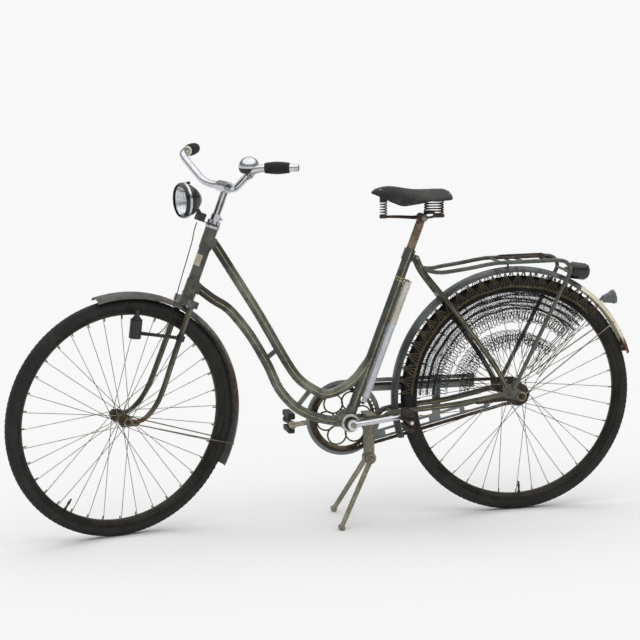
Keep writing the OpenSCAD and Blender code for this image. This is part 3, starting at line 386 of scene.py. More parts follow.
darkLugs = [(headFoot + axisUp * 0.155 - axisFwd * 0.045, 0.085),
            (headFoot + axisUp * 0.02 - axisFwd * 0.055, 0.1)]
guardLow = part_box("mudguard_tail")[0]
tailRust = [(Vector((guardLow.x, 0, guardLow.z)), 0.075, 0.2),
            (Vector((guardLow.x + 0.01, 0.02, guardLow.z + 0.06)), 0.05, 0.07)]
finishes = {
    "framePaint": enamel("framePaint", tint(64, 69, 60), tint(116, 120, 106), 0.32, 0.75, lugSpots,
                         liningOn(left), darkened=darkLugs),
    "seatPaint": enamel("seatPaint", tint(50, 55, 50), tint(88, 94, 86), 0.28, 0.7, lugSpots, twoRings),
    "forkPaint": enamel("forkPaint", tint(46, 47, 38), tint(80, 79, 64), 0.4, 0.82, lugSpots,
                        liningOn(frontAxle, clear=frontHub)),
    "lugPaint": enamel("lugPaint", tint(60, 64, 56), tint(104, 108, 98), 0.32, 0.72, lugSpots),
    "stayPaint": enamel("stayPaint", tint(56, 56, 44), tint(90, 88, 72), 0.4, 0.85, lugSpots,
                        liningOn(left, 0.994)),
    "carrierPaint": enamel("carrierPaint", tint(66, 70, 64), tint(94, 98, 88), 0.4, 0.7, lugSpots),
    "guardPaint": enamel("guardPaint", tint(48, 53, 50), tint(82, 90, 90), 0.38, 0.75, [], sheen=0.34),
    "creamPaint": enamel("creamPaint", tint(214, 204, 176), tint(236, 230, 210), 0.42, 0.12, tailRust,
                         sheen=0.35, scuff=0.0),
    "guardSteel": enamel("guardSteel", tint(118, 124, 124), tint(146, 150, 150), 0.3, 0.35, [], sheen=0.42),
    "blackShell": enamel("blackShell", tint(20, 20, 20), tint(34, 32, 30), 0.36, 0.15, [], sheen=0.28,
                         scuff=0.2),
    "greyShell": enamel("greyShell", tint(84, 90, 94), tint(116, 122, 126), 0.3, 0.3, [], sheen=0.4),
    "chrome": plated("chrome", tint(206, 208, 212), tint(168, 170, 174), 0.1, 0.06, 1.0, 0.3),
    "crankPlate": crankPlate("crankPlate"),
    "frontGuardPaint": enamel("frontGuardPaint", tint(74, 78, 73), tint(110, 114, 108), 0.34, 0.7,
                              [(frontHub + Vector((-0.36, 0.1, 0.06)), 0.3, 0.26),
                               (frontHub + Vector((-0.05, 0, 0.37)), 0.22, 0.1)],
                              sheen=0.42),
    "spokeSteel": plated("spokeSteel", tint(150, 146, 138), tint(96, 90, 80), 0.2, 0.3),
    "brightSteel": plated("brightSteel", tint(150, 144, 134), tint(92, 84, 72), 0.42, 0.3),
    "rimSteel": plated("rimSteel", tint(46, 43, 36), tint(26, 24, 20), 0.4, 0.42, 0.55),
    "ringSteel": plated("ringSteel", tint(112, 104, 84), tint(54, 46, 36), 0.5, 0.42, 0.75),
    "pumpAlloy": plated("pumpAlloy", tint(206, 209, 213), tint(178, 182, 188), 0.06, 0.42, 0.02),
    "pumpSleeve": plated("pumpSleeve", tint(206, 202, 190), tint(168, 162, 148), 0.14, 0.42, 0.02),
    "standAlloy": plated("standAlloy", tint(150, 146, 128), tint(104, 100, 84), 0.34, 0.5, 0.3),
    "rust": corroded("rust", tint(50, 42, 32), tint(90, 74, 54)),
    "hubSteel": plated("hubSteel", tint(98, 88, 66), tint(48, 43, 33), 0.52, 0.42, 0.7),
    "postRust": corroded("postRust", tint(96, 80, 62), tint(142, 124, 100), 0.0003),
    "darkRust": corroded("darkRust", tint(38, 30, 25), tint(78, 56, 40)),
    "chainSteel": corroded("chainSteel", tint(40, 34, 28), tint(84, 64, 42), 0.0002),
    "saddleLeather": leather("saddleLeather"),
    "gripRubber": rubber("gripRubber", tint(22, 21, 21), tint(46, 44, 42)),
    "blockRubber": rubber("blockRubber", tint(34, 27, 23), tint(66, 50, 39)),
    "leadSkin": rubber("leadSkin", tint(20, 20, 20), tint(40, 38, 36)),
    "netString": twine("netString", tint(12, 15, 14), tint(28, 32, 29)),
    "hemString": twine("hemString", tint(74, 66, 48), tint(104, 94, 72)),
    "frontRubber": tyreRubber("frontRubber", frontHub, frontAxle),
    "rearRubber": tyreRubber("rearRubber", rearHub, left),
    "redGlass": rubber("redGlass", tint(96, 16, 8), tint(196, 62, 22)),
    "badgeFoil": enamel("badgeFoil", tint(168, 160, 136), tint(206, 200, 182), 0.4, 0.4, [], sheen=0.4,
                        scuff=0.0),
}

glass = Paint("lensGlass", Roughness=0.03, Transmission_Weight=1.0, IOR=1.3)
glass.feed(Base_Color=glass.mix(glass.noise(60.0, 4.0, 0.6).ramp(0.6, 0.8), tint(250, 252, 252),
                                tint(226, 224, 210)))
finishes["lensGlass"] = glass.material


def deselect():
    if bpy.context.mode != "OBJECT":
        bpy.ops.object.mode_set(mode="OBJECT")
    bpy.ops.object.select_all(action="DESELECT")


def pick(piece):  # the one piece that the next operators act on
    deselect()
    piece.select_set(True)
    bpy.context.view_layer.objects.active = piece


def editAll():  # into edit mode, with the whole mesh selected
    bpy.ops.object.mode_set(mode="EDIT")
    bpy.ops.mesh.select_all(action="SELECT")


def editDone():
    bpy.ops.object.mode_set(mode="OBJECT")


def finishPiece(piece, name, finish, body, replaced=(), smooth=32):
    piece.name = name
    pick(piece)
    bpy.ops.object.shade_smooth_by_angle(angle=math.radians(smooth))
    piece.data.materials.clear()
    piece.data.materials.append(finishes[finish])
    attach(piece, body)
    if replaced:
        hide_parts(*replaced)
    return piece


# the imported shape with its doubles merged, so that curves shade smoothly
def refined(name, finish, node, smooth=32):
    packed = nodes[node]
    piece = packed.copy()
    piece.data = packed.data.copy()
    piece.parent = None
    for key in list(piece.keys()):
        del piece[key]
    bpy.context.scene.collection.objects.link(piece)
    pick(piece)
    if piece.data.has_custom_normals:
        bpy.ops.mesh.customdata_custom_splitnormals_clear()
    editAll()
    bpy.ops.mesh.remove_doubles(threshold=0.00002)
    editDone()
    return finishPiece(piece, name, finish, packed["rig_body"], (node,), smooth)


def placed(piece, at, facing=None, about=None):  # puts a piece that was made at the origin in its place
    pick(piece)
    turn = Matrix.Identity(3)
    if facing is not None:
        upward = Vector(facing).normalized()
        across = Vector(about or (0, 1, 0))
        across = (across - upward * across.dot(upward)).normalized()
        turn = Matrix((across, upward.cross(across), upward)).transposed()
    piece.matrix_world = Matrix.Translation(Vector(at)) @ turn.to_4x4()
    bpy.ops.object.transform_apply(location=True, rotation=True, scale=True)
    return piece


def lathe(line, sides=40):  # turned about Z; the line is [radius, height] from its start to its end
    deselect()
    bpy.ops.mesh.primitive_plane_add(size=0.001)
    piece = bpy.context.active_object
    bpy.ops.object.mode_set(mode="EDIT")
    bpy.ops.mesh.select_mode(type="VERT")
    bpy.ops.mesh.select_all(action="SELECT")
    bpy.ops.mesh.merge(type="CENTER")
    bpy.ops.transform.translate(value=(line[0][0], 0, line[0][1]))
    for start, end in zip(line, line[1:]):
        bpy.ops.mesh.extrude_region_move(
            TRANSFORM_OT_translate={"value": (end[0] - start[0], 0, end[1] - start[1])})
    bpy.ops.mesh.select_all(action="SELECT")
    bpy.ops.mesh.spin(steps=sides, angle=2 * math.pi, center=(0, 0, 0), axis=(0, 0, 1))
    bpy.ops.mesh.select_all(action="SELECT")
    bpy.ops.mesh.remove_doubles(threshold=0.000004)
    bpy.ops.mesh.normals_make_consistent(inside=False)
    editDone()
    return piece


def block(size, bevel, segments=2):  # a box with rounded edges, centred on the origin
    deselect()
    bpy.ops.mesh.primitive_cube_add(size=1)
    piece = bpy.context.active_object
    editAll()
    bpy.ops.transform.resize(value=size, center_override=(0, 0, 0))
    bpy.ops.mesh.bevel(offset=bevel, segments=segments, affect="EDGES")
    editDone()
    return piece


# round bars along points; a fourth number scales the thickness
def sweep(runs, radius, roundness=1):
    deselect()
    bpy.ops.curve.primitive_bezier_curve_add()
    piece = bpy.context.active_object
    line = piece.data
    line.splines.clear()
    line.dimensions = "3D"
    line.bevel_depth = radius
    line.bevel_resolution = roundness
    line.use_fill_caps = True
    for run in runs:
        spline = line.splines.new("POLY")
        spline.points.add(len(run) - 1)
        for point, place in zip(spline.points, run):
            point.co = (place[0], place[1], place[2], 1.0)
            point.radius = place[3] if len(place) > 3 else 1.0
    bpy.ops.object.convert(target="MESH")
    return bpy.context.active_object


def twin(piece, matrix):  # a copy with its own mesh
    other = piece.copy()
    other.data = piece.data.copy()
    bpy.context.scene.collection.objects.link(other)
    other.data.transform(matrix)
    if matrix.determinant() < 0:
        other.data.flip_normals()
    return other


def joined(members):
    deselect()
    for member in members:
        member.select_set(True)
    bpy.context.view_layer.objects.active = members[0]
    bpy.ops.object.join()
    return bpy.context.active_object


def dropped(piece):
    bpy.data.objects.remove(piece)


mirrorY = Matrix.Scale(-1, 4, (0, 1, 0))


def eased(points, steps=4):  # a smooth line through the points
    line = []
    for i in range(len(points) - 1):
        a, b = Vector(points[max(i - 1, 0)]), Vector(points[i])
        c, d = Vector(points[i + 1]), Vector(points[min(i + 2, len(points) - 1)])
        for k in range(steps):
            t = k / steps
            line.append(0.5 * (2 * b + (c - a) * t + (2 * a - 5 * b + 4 * c - d) * t * t
                               + (3 * b - a - 3 * c + d) * t ** 3))
    return line + [Vector(points[-1])]


def steered(point):  # a place on the straight fork, turned as the fork stands
    return headFoot + Matrix.Rotation(steerTurn, 3, axisUp) @ (Vector(point) - headFoot)


print("setting the studio")
studio = {"floorSize": 900.0, "floorTone": 0.82}
deselect()
bpy.ops.mesh.primitive_plane_add(size=studio["floorSize"], location=(0.6, 0, 0))
floor = bpy.context.active_object
floor.name = "studioFloor"
floorPaint = Paint("studioFloor", Roughness=0.95, Specular_IOR_Level=0.0)
floorTone = studio["floorTone"]
floorPaint.feed(Base_Color=floorPaint.mix(floorPaint.noise(0.8), (floorTone, floorTone, floorTone, 1.0),
                                          (floorTone * 1.004, floorTone * 1.004, floorTone, 1.0)))
floor.data.materials.append(floorPaint.material)

world = bpy.data.worlds.new("studioLight")
bpy.context.scene.world = world
world.use_nodes = True
sky = world.node_tree
skyPlace = sky.nodes.new("ShaderNodeTexCoord")
skyHeight = sky.nodes.new("ShaderNodeSeparateXYZ")
skyTone = sky.nodes.new("ShaderNodeValToRGB")
# height of the light and its strength
stops = [(0.0, 0.93), (0.14, 0.93), (0.24, 0.3), (0.5, 0.34), (0.72, 1.6)]
while len(skyTone.color_ramp.elements) < len(stops):
    skyTone.color_ramp.elements.new(0.5)
for element, (at, power) in zip(skyTone.color_ramp.elements, stops):
    element.position = at
    element.color = (power, power, power, 1.0)
sky.links.new(skyPlace.outputs["Generated"], skyHeight.inputs[0])
sky.links.new(skyHeight.outputs["Z"], skyTone.inputs["Fac"])
sky.links.new(skyTone.outputs["Color"], sky.nodes["Background"].inputs["Color"])
sky.nodes["Background"].inputs["Strength"].default_value = 1.0

camera = {"at": Vector((2.170, 6.842, 1.681)), "yaw": 0.227, "pitch": 0.153, "roll": -0.017, "lens": 137.98}
lens = bpy.data.cameras.new("studioCamera")
lens.lens = camera["lens"]
lens.sensor_width = 36.0
lens.clip_end = 1500.0
eye = bpy.data.objects.new("studioCamera", lens)
bpy.context.scene.collection.objects.link(eye)
ahead = Vector((-math.sin(camera["yaw"]) * math.cos(camera["pitch"]),
                -math.cos(camera["yaw"]) * math.cos(camera["pitch"]), -math.sin(camera["pitch"])))
right = ahead.cross(Vector((0, 0, 1))).normalized()
up = right.cross(ahead)
sideways = right * math.cos(camera["roll"]) + up * math.sin(camera["roll"])
upwards = up * math.cos(camera["roll"]) - right * math.sin(camera["roll"])
turn = Matrix((sideways, upwards, -ahead)).transposed()
eye.matrix_world = Matrix.Translation(camera["at"]) @ turn.to_4x4()
bpy.context.scene.camera = eye
bpy.context.scene.view_settings.view_transform = "Standard"

print("laying the lead")
lead = {"radius": 0.0015,
        "route": [(951, 6, 902), (960, 8, 882), (969, 12, 850), (985, 18, 808), (1002, 24, 766),
                  (1017, 30, 728),
                  (1030, 34, 692), (1044, 38, 655), (1060, 44, 624), (1084, 50, 604), (1114, 51, 598),
                  (1142, 49, 602)]}
leadPath = [steered(point) for point in eased([Vector(place) * mm for place in lead["route"]], 6)]
leadPiece = finishPiece(sweep([leadPath], lead["radius"], 2), "leadCord", "leadSkin", "fork", ("dynamo_lead",))

print("smoothing the packed shapes")
refinedFinish = {
    "framePaint": ["top_tube", "down_tube"],
    "seatPaint": ["seat_tube"],
    "forkPaint": ["fork_blades"],
    "lugPaint": ["head_tube", "bottom_bracket", "steerer", "frame_braces", "rear_dropouts"],
    "stayPaint": ["chain_stays", "seat_stays"],
    "carrierPaint": ["carrier"],
    "guardPaint": ["rear_mudguard"],
    "frontGuardPaint": ["front_mudguard"],
    "guardSteel": ["chain_guard"],
    "blackShell": ["tail_lamp", "headlamp", "lamp_bracket", "dynamo"],
    "greyShell": ["rear_reflector"],
    "chrome": ["handlebar", "stem", "bell"],
    "crankPlate": ["cranks"],
    "brightSteel": ["rear_guard_stays", "front_guard_stays", "crank_spindle"],
    "hubSteel": ["rear_axle", "front_axle", "front_hub"],
    "spokeSteel": ["front_spokes", "rear_spokes"],
    "rimSteel": ["front_rim", "rear_rim"],
    "ringSteel": ["chainring"],
    "standAlloy": ["centre_stand", "stand_bracket"],
    "rust": ["sprocket", "rear_hub"],
    "postRust": ["seat_post"],
    "darkRust": ["saddle_springs", "carrier_clip", "saddle_frame", "coaster_arm"],
    "frontRubber": ["front_tyre"],
    "rearRubber": ["rear_tyre"],
    "creamPaint": ["mudguard_tail"],
}
smoothed = {}
for finish, members in refinedFinish.items():
    for member in members:
        words = member.split("_")
        smoothed[member] = refined(words[0] + "".join(word.capitalize() for word in words[1:]) + "Piece",
                                   finish, member)

headPiece = smoothed["head_tube"]  # the lugs are trimmed to short collars round the tubes
pick(headPiece)
editAll()
bpy.ops.mesh.bisect(plane_co=headFoot - axisFwd * 0.025, plane_no=-axisFwd, use_fill=True, clear_outer=True)
editDone()

print("lacing the skirt nets")
nets = {"centre": rearHub + Vector((0.005, 0, 0.003)), "outerR": 0.361, "innerR": 0.07, "outerY": 0.0272,
        "innerY": 0.0455,
        "lowZ": (0.3625, 0.399), "lastAngle": 135.0, "string": 0.00098, "rope": 0.0019}
netRandom = random.Random(7)


def netPoint(radius, angle, fat=1.0, lift=0.0):
    share = (radius - nets["innerR"]) / (nets["outerR"] - nets["innerR"])
    aside = nets["innerY"] + share * (nets["outerY"] - nets["innerY"]) + lift
    where = nets["centre"] + radius * Vector((math.cos(math.radians(angle)), 0, math.sin(math.radians(angle))))
    return where.x, aside, where.z, fat


def netRuns(lowZ):
    runs = {"string": [], "rope": [], "hem": [], "rim": []}

    def firstAngle(radius):
        return math.degrees(math.asin(min(0.99, (lowZ - nets["centre"].z) / radius))) + 0.4

    def zigzag(kind, inner, outer, pitch, shift=0.0, wobble=0.0012, last=nets["lastAngle"], rounded=False):
        angle, run, step = firstAngle(outer) + shift * pitch, [], pitch / (8 if rounded else 2)
        k = 0
        while angle < last + netRandom.uniform(-1.5, 0.5):
            if rounded:
                phase = 2 * math.pi * k / 8
                share = 0.5 + 0.5 * math.cos(phase)
                swing = 0.3 * pitch * math.sin(2 * phase)
                if k % 8 == 0:
                    sag = netRandom.uniform(-1, 1) * wobble * 2
                run.append(netPoint(inner + (outer - inner) * share + sag * (1 - share), angle + swing))
            else:
                edge = outer if k % 2 else inner
                run.append(netPoint(edge + netRandom.uniform(-1, 1) * wobble,
                                    angle + netRandom.uniform(-0.1, 0.1) * pitch))
            angle += step
            k += 1
        if len(run) > 2:
            runs[kind].append(run)

    def row(kind, radius, knots=1.7, last=nets["lastAngle"]):
        angle, run, k = firstAngle(radius), [], 0
        while angle < last:
            run.append(netPoint(radius + 0.0012 * math.sin(angle * 0.31) + netRandom.uniform(-0.0005, 0.0005),
                                angle, 1.45 if k % 2 else 0.7))
            angle += knots / 2
            k += 1
        runs[kind].append(run)

    edges = [0.3135, 0.3035, 0.2935, 0.2835, 0.2735, 0.2635, 0.2535]
    for k, (outer, inner) in enumerate(zip(edges, edges[1:])):
        zigzag("string", inner, outer, 2.3, 0.5 * (k % 2))
        zigzag("string", inner + 0.001, outer - 0.001, 2.3, 0.5 * ((k + 1) % 2))
    for radius in (0.2935, 0.2735, 0.2535):
        row("rope", radius)
        row("string", radius + 0.0035, 1.2)
    zigzag("string", 0.2435, 0.2535, 2.0)
    zigzag("string", 0.213, 0.246, 4.4, rounded=True)
    zigzag("string", 0.216, 0.248, 4.4, 0.5, rounded=True)
    for shift in (0.0, 0.4):  # the dense inner loops
        zigzag("string", 0.146 + 0.006 * shift, 0.181 - 0.005 * shift, 5.2, shift, 0.004, 132, rounded=True)
    row("string", 0.163, 2.0, 130)
    angle = firstAngle(0.12)
    while angle < 132:  # loose threads that gather towards the axle
        runs["string"].append([netPoint(0.15, angle), netPoint(0.128, angle + netRandom.uniform(-2, 2), 0.8),
                               netPoint(netRandom.uniform(0.075, 0.118), angle + netRandom.uniform(-4, 4),
                                        0.6)])
        angle += netRandom.uniform(3.4, 7.0)
    row("rim", 0.3175, 2.6)
    row("rim", 0.3205, 3.1)
    anchor = firstAngle(0.36) + 1.0
    while anchor < nets["lastAngle"] + 1:  # each eye in the mudguard's edge holds a fan of strings
        for foot in (-3.0, -1.0, 1.0, 3.0):
            start = anchor + netRandom.uniform(-0.12, 0.12)
            if anchor + foot > firstAngle(0.32):
                runs["hem"].append([netPoint(nets["outerR"], start),
                                    netPoint(0.341, start + foot * 0.5, 1.0, -0.0002),
                                    netPoint(0.3205, anchor + foot)])
        anchor += 6.3
    for lean in (0.0, 2.2, 3.8):  # cords that hold the rear edge
        runs["hem"].append([netPoint(0.3 - 0.01 * lean, nets["lastAngle"] + 1.5 - lean * 0.5),
                            netPoint(0.18, nets["lastAngle"] + 3 - lean),
                            netPoint(0.082, nets["lastAngle"] + 9 - 3 * lean)])
    return runs


for side, lowZ in zip((1, -1), nets["lowZ"]):
    runs = netRuns(lowZ)
    members = {"string": sweep(runs["string"], nets["string"], 0), "rope": sweep(runs["rope"], nets["rope"], 1),
               "hem": sweep(runs["hem"], nets["string"] * 1.3, 0),
               "rim": sweep(runs["rim"], nets["string"] * 1.5, 0)}
    label = "left" if side > 0 else "right"
    dark = joined([members["string"], members["rope"]])
    brown = joined([members["hem"], members["rim"]])
    for piece, name, finish, stands in ((dark, label + "SkirtMesh", "netString", ("skirt_nets",)),
                                        (brown, label + "SkirtLacing", "hemString", ())):
        if side < 0:
            piece.data.transform(mirrorY)
            piece.data.flip_normals()
        finishPiece(piece, name, finish, "frame", stands)

print("linking the chain")
chainSize = {"pitch": 0.0127, "plateR": 0.0042, "plateT": 0.0011, "outerGap": 0.0038, "innerGap": 0.0026,
             "rollerR": 0.0038, "ringTeeth": 48, "cogTeeth": 18}
chainY = middle("chain").y


def chainLine():  # the pitch line round the chainring and the sprocket
    bigR = chainSize["pitch"] / (2 * math.sin(math.pi / chainSize["ringTeeth"]))
    smallR = chainSize["pitch"] / (2 * math.sin(math.pi / chainSize["cogTeeth"]))
    apart = crankAxle - rearHub
    span = math.hypot(apart.x, apart.z)
    tilt = math.atan2(apart.z, apart.x)
    lean = math.asin((bigR - smallR) / span)
    straight = span * math.cos(lean)
    around, about = math.pi + 2 * lean, math.pi - 2 * lean
    total = 2 * straight + bigR * around + smallR * about
    count = round(total / chainSize["pitch"] / 2) * 2

    def onCircle(centre, radius, angle):
        return Vector((centre.x + radius * math.cos(angle), chainY, centre.z + radius * math.sin(angle)))

    top, bottom = tilt + math.pi / 2 + lean, tilt - math.pi / 2 - lean
    points = []
    for k in range(count):
        run = total * k / count
        if run < bigR * around:
            points.append(onCircle(crankAxle, bigR, bottom + run / bigR))
            continue
        run -= bigR * around
        if run < straight:
            points.append(onCircle(crankAxle, bigR, top).lerp(onCircle(rearHub, smallR, top), run / straight))
            continue
        run -= straight
        if run < smallR * about:
            points.append(onCircle(rearHub, smallR, top + run / smallR))
            continue
        run -= smallR * about
        points.append(onCircle(rearHub, smallR, bottom).lerp(onCircle(crankAxle, bigR, bottom), run / straight))
    return points


def linkPlate(offset):
    deselect()
    bpy.ops.mesh.primitive_circle_add(vertices=14, radius=chainSize["plateR"], fill_type="NGON",
                                      location=(0, 0, offset))
    piece = bpy.context.active_object
    bpy.ops.object.transform_apply(location=True)
    far = [vertex.index for vertex in piece.data.vertices if vertex.co.x > 0.0001]
    pick(piece)
    bpy.ops.object.mode_set(mode="EDIT")
    bpy.ops.mesh.select_all(action="DESELECT")
    editDone()
    for index in far:
        piece.data.vertices[index].select = True
    bpy.ops.object.mode_set(mode="EDIT")
    bpy.ops.transform.translate(value=(chainSize["pitch"], 0, 0))
    bpy.ops.mesh.select_all(action="SELECT")
    bpy.ops.mesh.extrude_region_move(TRANSFORM_OT_translate={"value": (0, 0, chainSize["plateT"])})
    bpy.ops.mesh.select_all(action="SELECT")
    bpy.ops.mesh.normals_make_consistent(inside=False)
    editDone()
    return piece


def linkOf(gap, withRollers):
    members = [linkPlate(gap), linkPlate(-gap - chainSize["plateT"])]
    if withRollers:
        roller = lathe([(0, -0.0024), (chainSize["rollerR"], -0.0024), (chainSize["rollerR"], 0.0024),
                        (0, 0.0024)], 10)
        members += [roller, twin(roller, Matrix.Translation((chainSize["pitch"], 0, 0)))]
    else:
        pin = lathe([(0, -0.0053), (0.0016, -0.0053), (0.0016, 0.0053), (0, 0.0053)], 8)
        members += [pin, twin(pin, Matrix.Translation((chainSize["pitch"], 0, 0)))]
    return joined(members)


kinds = [linkOf(chainSize["outerGap"], False), linkOf(chainSize["innerGap"], True)]
linkPoints = chainLine()
links = []
for k, here in enumerate(linkPoints):
    onward = linkPoints[(k + 1) % len(linkPoints)] - here
    run = onward.normalized()
    turn = Matrix((run, left.cross(run), left)).transposed().to_4x4()
    stretch = Matrix.Scale(onward.length / chainSize["pitch"], 4, (1, 0, 0))
    links.append(twin(kinds[k % 2], Matrix.Translation(here) @ turn @ stretch))
for kind in kinds:
    dropped(kind)
finishPiece(joined(links), "chainLinks", "chainSteel", "frame", ("chain",))

print("fitting the handlebar")
clampAt = headTop + axisUp * 0.124 + axisFwd * 0.006
bars = {"tilt": 4.8, "halfWidth": 0.297, "rise": 0.077, "gripLength": 0.07, "stub": 0.025}


def knocked(point):
    lean = Matrix.Rotation(math.radians(bars["tilt"]), 3, axisFwd)
    twist = Matrix.Rotation(math.radians(bars["tilt"] / 3), 3, axisUp)
    return clampAt + twist @ (lean @ (Vector(point) - clampAt))


def onBars(point):
    return steered(knocked(point))


barEnd = clampAt + Vector((-0.071, bars["halfWidth"], bars["rise"] + 0.001))
barHigh = clampAt + Vector((0.022, 0.74 * bars["halfWidth"], bars["rise"]))
barLow = clampAt + Vector((0.016, 0.3 * bars["halfWidth"], 0.004))
barRun = (barEnd - barHigh).normalized()
gripLine = [(0.011, 0), (0.0135, 0), (0.0145, 0.002)]
for k in range(14):
    swell = 0.0026 * math.sin(math.pi * (k + 0.5) / 14)
    at = 0.0035 + k * 0.0045
    gripLine += [(0.0139 + swell, at), (0.0152 + swell, at + 0.0011), (0.0152 + swell, at + 0.0029),
                 (0.0139 + swell, at + 0.004)]
gripLine += [(0.0148, 0.067), (0.0135, 0.07), (0.011, 0.07)]
for label, side, back in (("left", 1, bars["stub"] + bars["gripLength"]),
                          ("right", -1, bars["gripLength"] + 0.001)):
    foot, tip = barEnd - barRun * back, barEnd
    foot, tip = (onBars((p.x, side * p.y, p.z)) for p in (foot, tip))
    facing = (tip - foot).normalized()
    finishPiece(placed(lathe(gripLine, 36), foot, facing), label + "Grip", "gripRubber", "fork",
                ("grips",) if side > 0 else ())
    if side < 0:
        cap = lathe([(0.0112, -0.003), (0.0142, -0.0028), (0.0146, -0.001), (0.0146, 0.003), (0.0112, 0.0035)],
                    36)
        finishPiece(placed(cap, foot, facing), "rightGripRing", "creamPaint", "fork")

# headlamp
lamp = {"at": headTop + Vector((0.097, 0, 0.088)), "radius": 0.05}
lampFront = steered(lamp["at"])
lampAxis = steered(lamp["at"] + Vector((1, 0, 0))) - lampFront
lampR = lamp["radius"]
ringPiece = placed(lathe([(lampR - 0.0035, -0.002), (lampR + 0.0006, -0.0135), (lampR + 0.0014, -0.0125),
                          (lampR + 0.0014, -0.0075),
                          (lampR + 0.0006, -0.0065), (lampR - 0.0005, -0.0065)], 64), lampFront, lampAxis)
finishPiece(ringPiece, "lampRing", "chrome", "fork")
lensPiece = placed(lathe([(0, 0.0048), (lampR * 0.3, 0.0044), (lampR * 0.6, 0.0032), (lampR * 0.85, 0.001),
                          (lampR - 0.0042, -0.0012),
                          (lampR - 0.0042, -0.0025), (lampR * 0.6, 0.001), (0, 0.0024)], 48), lampFront,
                          lampAxis)
finishPiece(lensPiece, "lampGlass", "lensGlass", "fork", ("lamp_lens",))
bowl = [(lampR - 0.006, -0.005)]
for k in range(1, 9):
    depth = k / 8
    bowl.append(((lampR - 0.006) * math.sqrt(1 - depth * 0.97), -0.005 - 0.035 * depth))
finishPiece(placed(lathe(bowl + [(0, -0.0405)], 48), lampFront, lampAxis), "lampReflector", "chrome", "fork")
knob = placed(lathe([(0, 0), (0.0055, 0), (0.006, 0.001), (0.006, 0.0055), (0.0045, 0.0068), (0, 0.007)], 20),
              lampFront - lampAxis * 0.024 + Vector((0, 0, 0.0455)), (0, 0, 1))
finishPiece(knob, "lampSwitch", "blackShell", "fork")

# rear lamps
tailLow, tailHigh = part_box("tail_lamp")
tailTilt = math.radians(10.0)
tailAxis = Vector((-math.cos(tailTilt), 0, -math.sin(tailTilt)))
tailEnd = Vector((tailLow.x + 0.006, 0, (tailLow.z + tailHigh.z) / 2 - 0.0045))
glassLine = [(0, 0.002), (0.009, 0.0016), (0.0155, 0.0002), (0.0185, -0.0022), (0.0195, -0.006),
             (0.018, -0.0062), (0, -0.002)]
finishPiece(placed(lathe(glassLine, 32), tailEnd, tailAxis), "tailGlass", "redGlass", "frame")
rimLine = [(0.0195, -0.0075), (0.0212, -0.007), (0.0216, -0.0035), (0.0205, -0.001), (0.0192, -0.002),
           (0.0192, -0.0075)]
finishPiece(placed(lathe(rimLine, 32), tailEnd, tailAxis), "tailLampRim", "darkRust", "frame")

print("truing the wheels")
wheel = {"spokes": 36, "nippleR": wheelR - 0.0475, "valveR": wheelR - 0.05, "flange": 0.0025}


def settled(hub, axle):  # from a wheel drawn round the Y axis to its place
    forward, upward = acrossAxle(axle)
    return Matrix.Translation(hub) @ Matrix((forward, axle, upward)).transposed().to_4x4()


def wheelSet(label, hub, axle, body, valveAngle):
    settle = settled(hub, axle)
    nipple = lathe([(0, -0.0115), (0.0016, -0.0112), (0.0019, -0.009), (0.0022, 0), (0.0028, 0.0008),
                    (0, 0.0012)], 8)
    members = []
    for k in range(wheel["spokes"]):
        angle = 2 * math.pi * k / wheel["spokes"]
        outward = Vector((math.cos(angle), 0, math.sin(angle)))
        sideY = wheel["flange"] if k % 2 else -wheel["flange"]
        stand = Matrix((left, outward.cross(left), outward)).transposed().to_4x4()
        members.append(twin(nipple,
                            settle @ Matrix.Translation(outward * wheel["nippleR"] + left * sideY) @ stand))
    dropped(nipple)
    finishPiece(joined(members), label + "Nipples", "brightSteel", body)
    outward = Vector((math.cos(valveAngle), 0, math.sin(valveAngle)))
    at = settle @ (outward * wheel["valveR"])
    inward = (hub - at).normalized()
    valve = lathe([(0.0045, -0.003), (0.0045, 0.002), (0.0031, 0.0024), (0.0031, 0.013), (0.0039, 0.0134),
                   (0.0039, 0.022), (0.0028, 0.0235), (0.0026, 0.031), (0, 0.0318)], 14)
    finishPiece(placed(valve, at, inward), label + "Valve", "rust", body)


tread = {"rows": (4.5, 10.0, 14.6), "count": 132, "size": (0.0085, 0.0042, 0.0022), "proud": 0.0007,
         "sectionR": 0.02}


def treadOn(label, hub, axle, body, finish):  # small blocks across the crown and the shoulders
    settle = settled(hub, axle)
    lug = block(tread["size"], 0.0006, 1)
    lugs = []
    for aside in [side * row * mm for row in tread["rows"] for side in (-1, 1)]:
        lean = math.asin(aside / tread["sectionR"])
        outerR = tread["sectionR"] + tread["proud"] - tread["size"][2] / 2
        height = min(wheelR - tread["sectionR"] + outerR * math.cos(lean), wheelR - 0.0012)
        tilt = Matrix.Rotation(-lean, 4, (1, 0, 0)) @ Matrix.Rotation(0.5 if aside > 0 else -0.5, 4, (0, 0, 1))
        for k in range(tread["count"]):
            angle = 2 * math.pi * (k + (0.5 if abs(aside) * 1000 > 8 else 0.0)) / tread["count"]
            outward = Vector((math.cos(angle), 0, math.sin(angle)))
            stand = Matrix((outward.cross(left) * -1, left, outward)).transposed().to_4x4()
            lugs.append(twin(lug, settle @ Matrix.Translation(outward * height + left * aside) @ stand @ tilt))
    dropped(lug)
    finishPiece(joined(lugs), label + "Tread", finish, body)


treadOn("front", frontHub, frontAxle, "front_wheel", "frontRubber")
treadOn("rear", rearHub, left, "rear_wheel", "rearRubber")
wheelSet("front", frontHub, frontAxle, "front_wheel", math.radians(304))
wheelSet("rear", rearHub, left, "rear_wheel", math.radians(268))

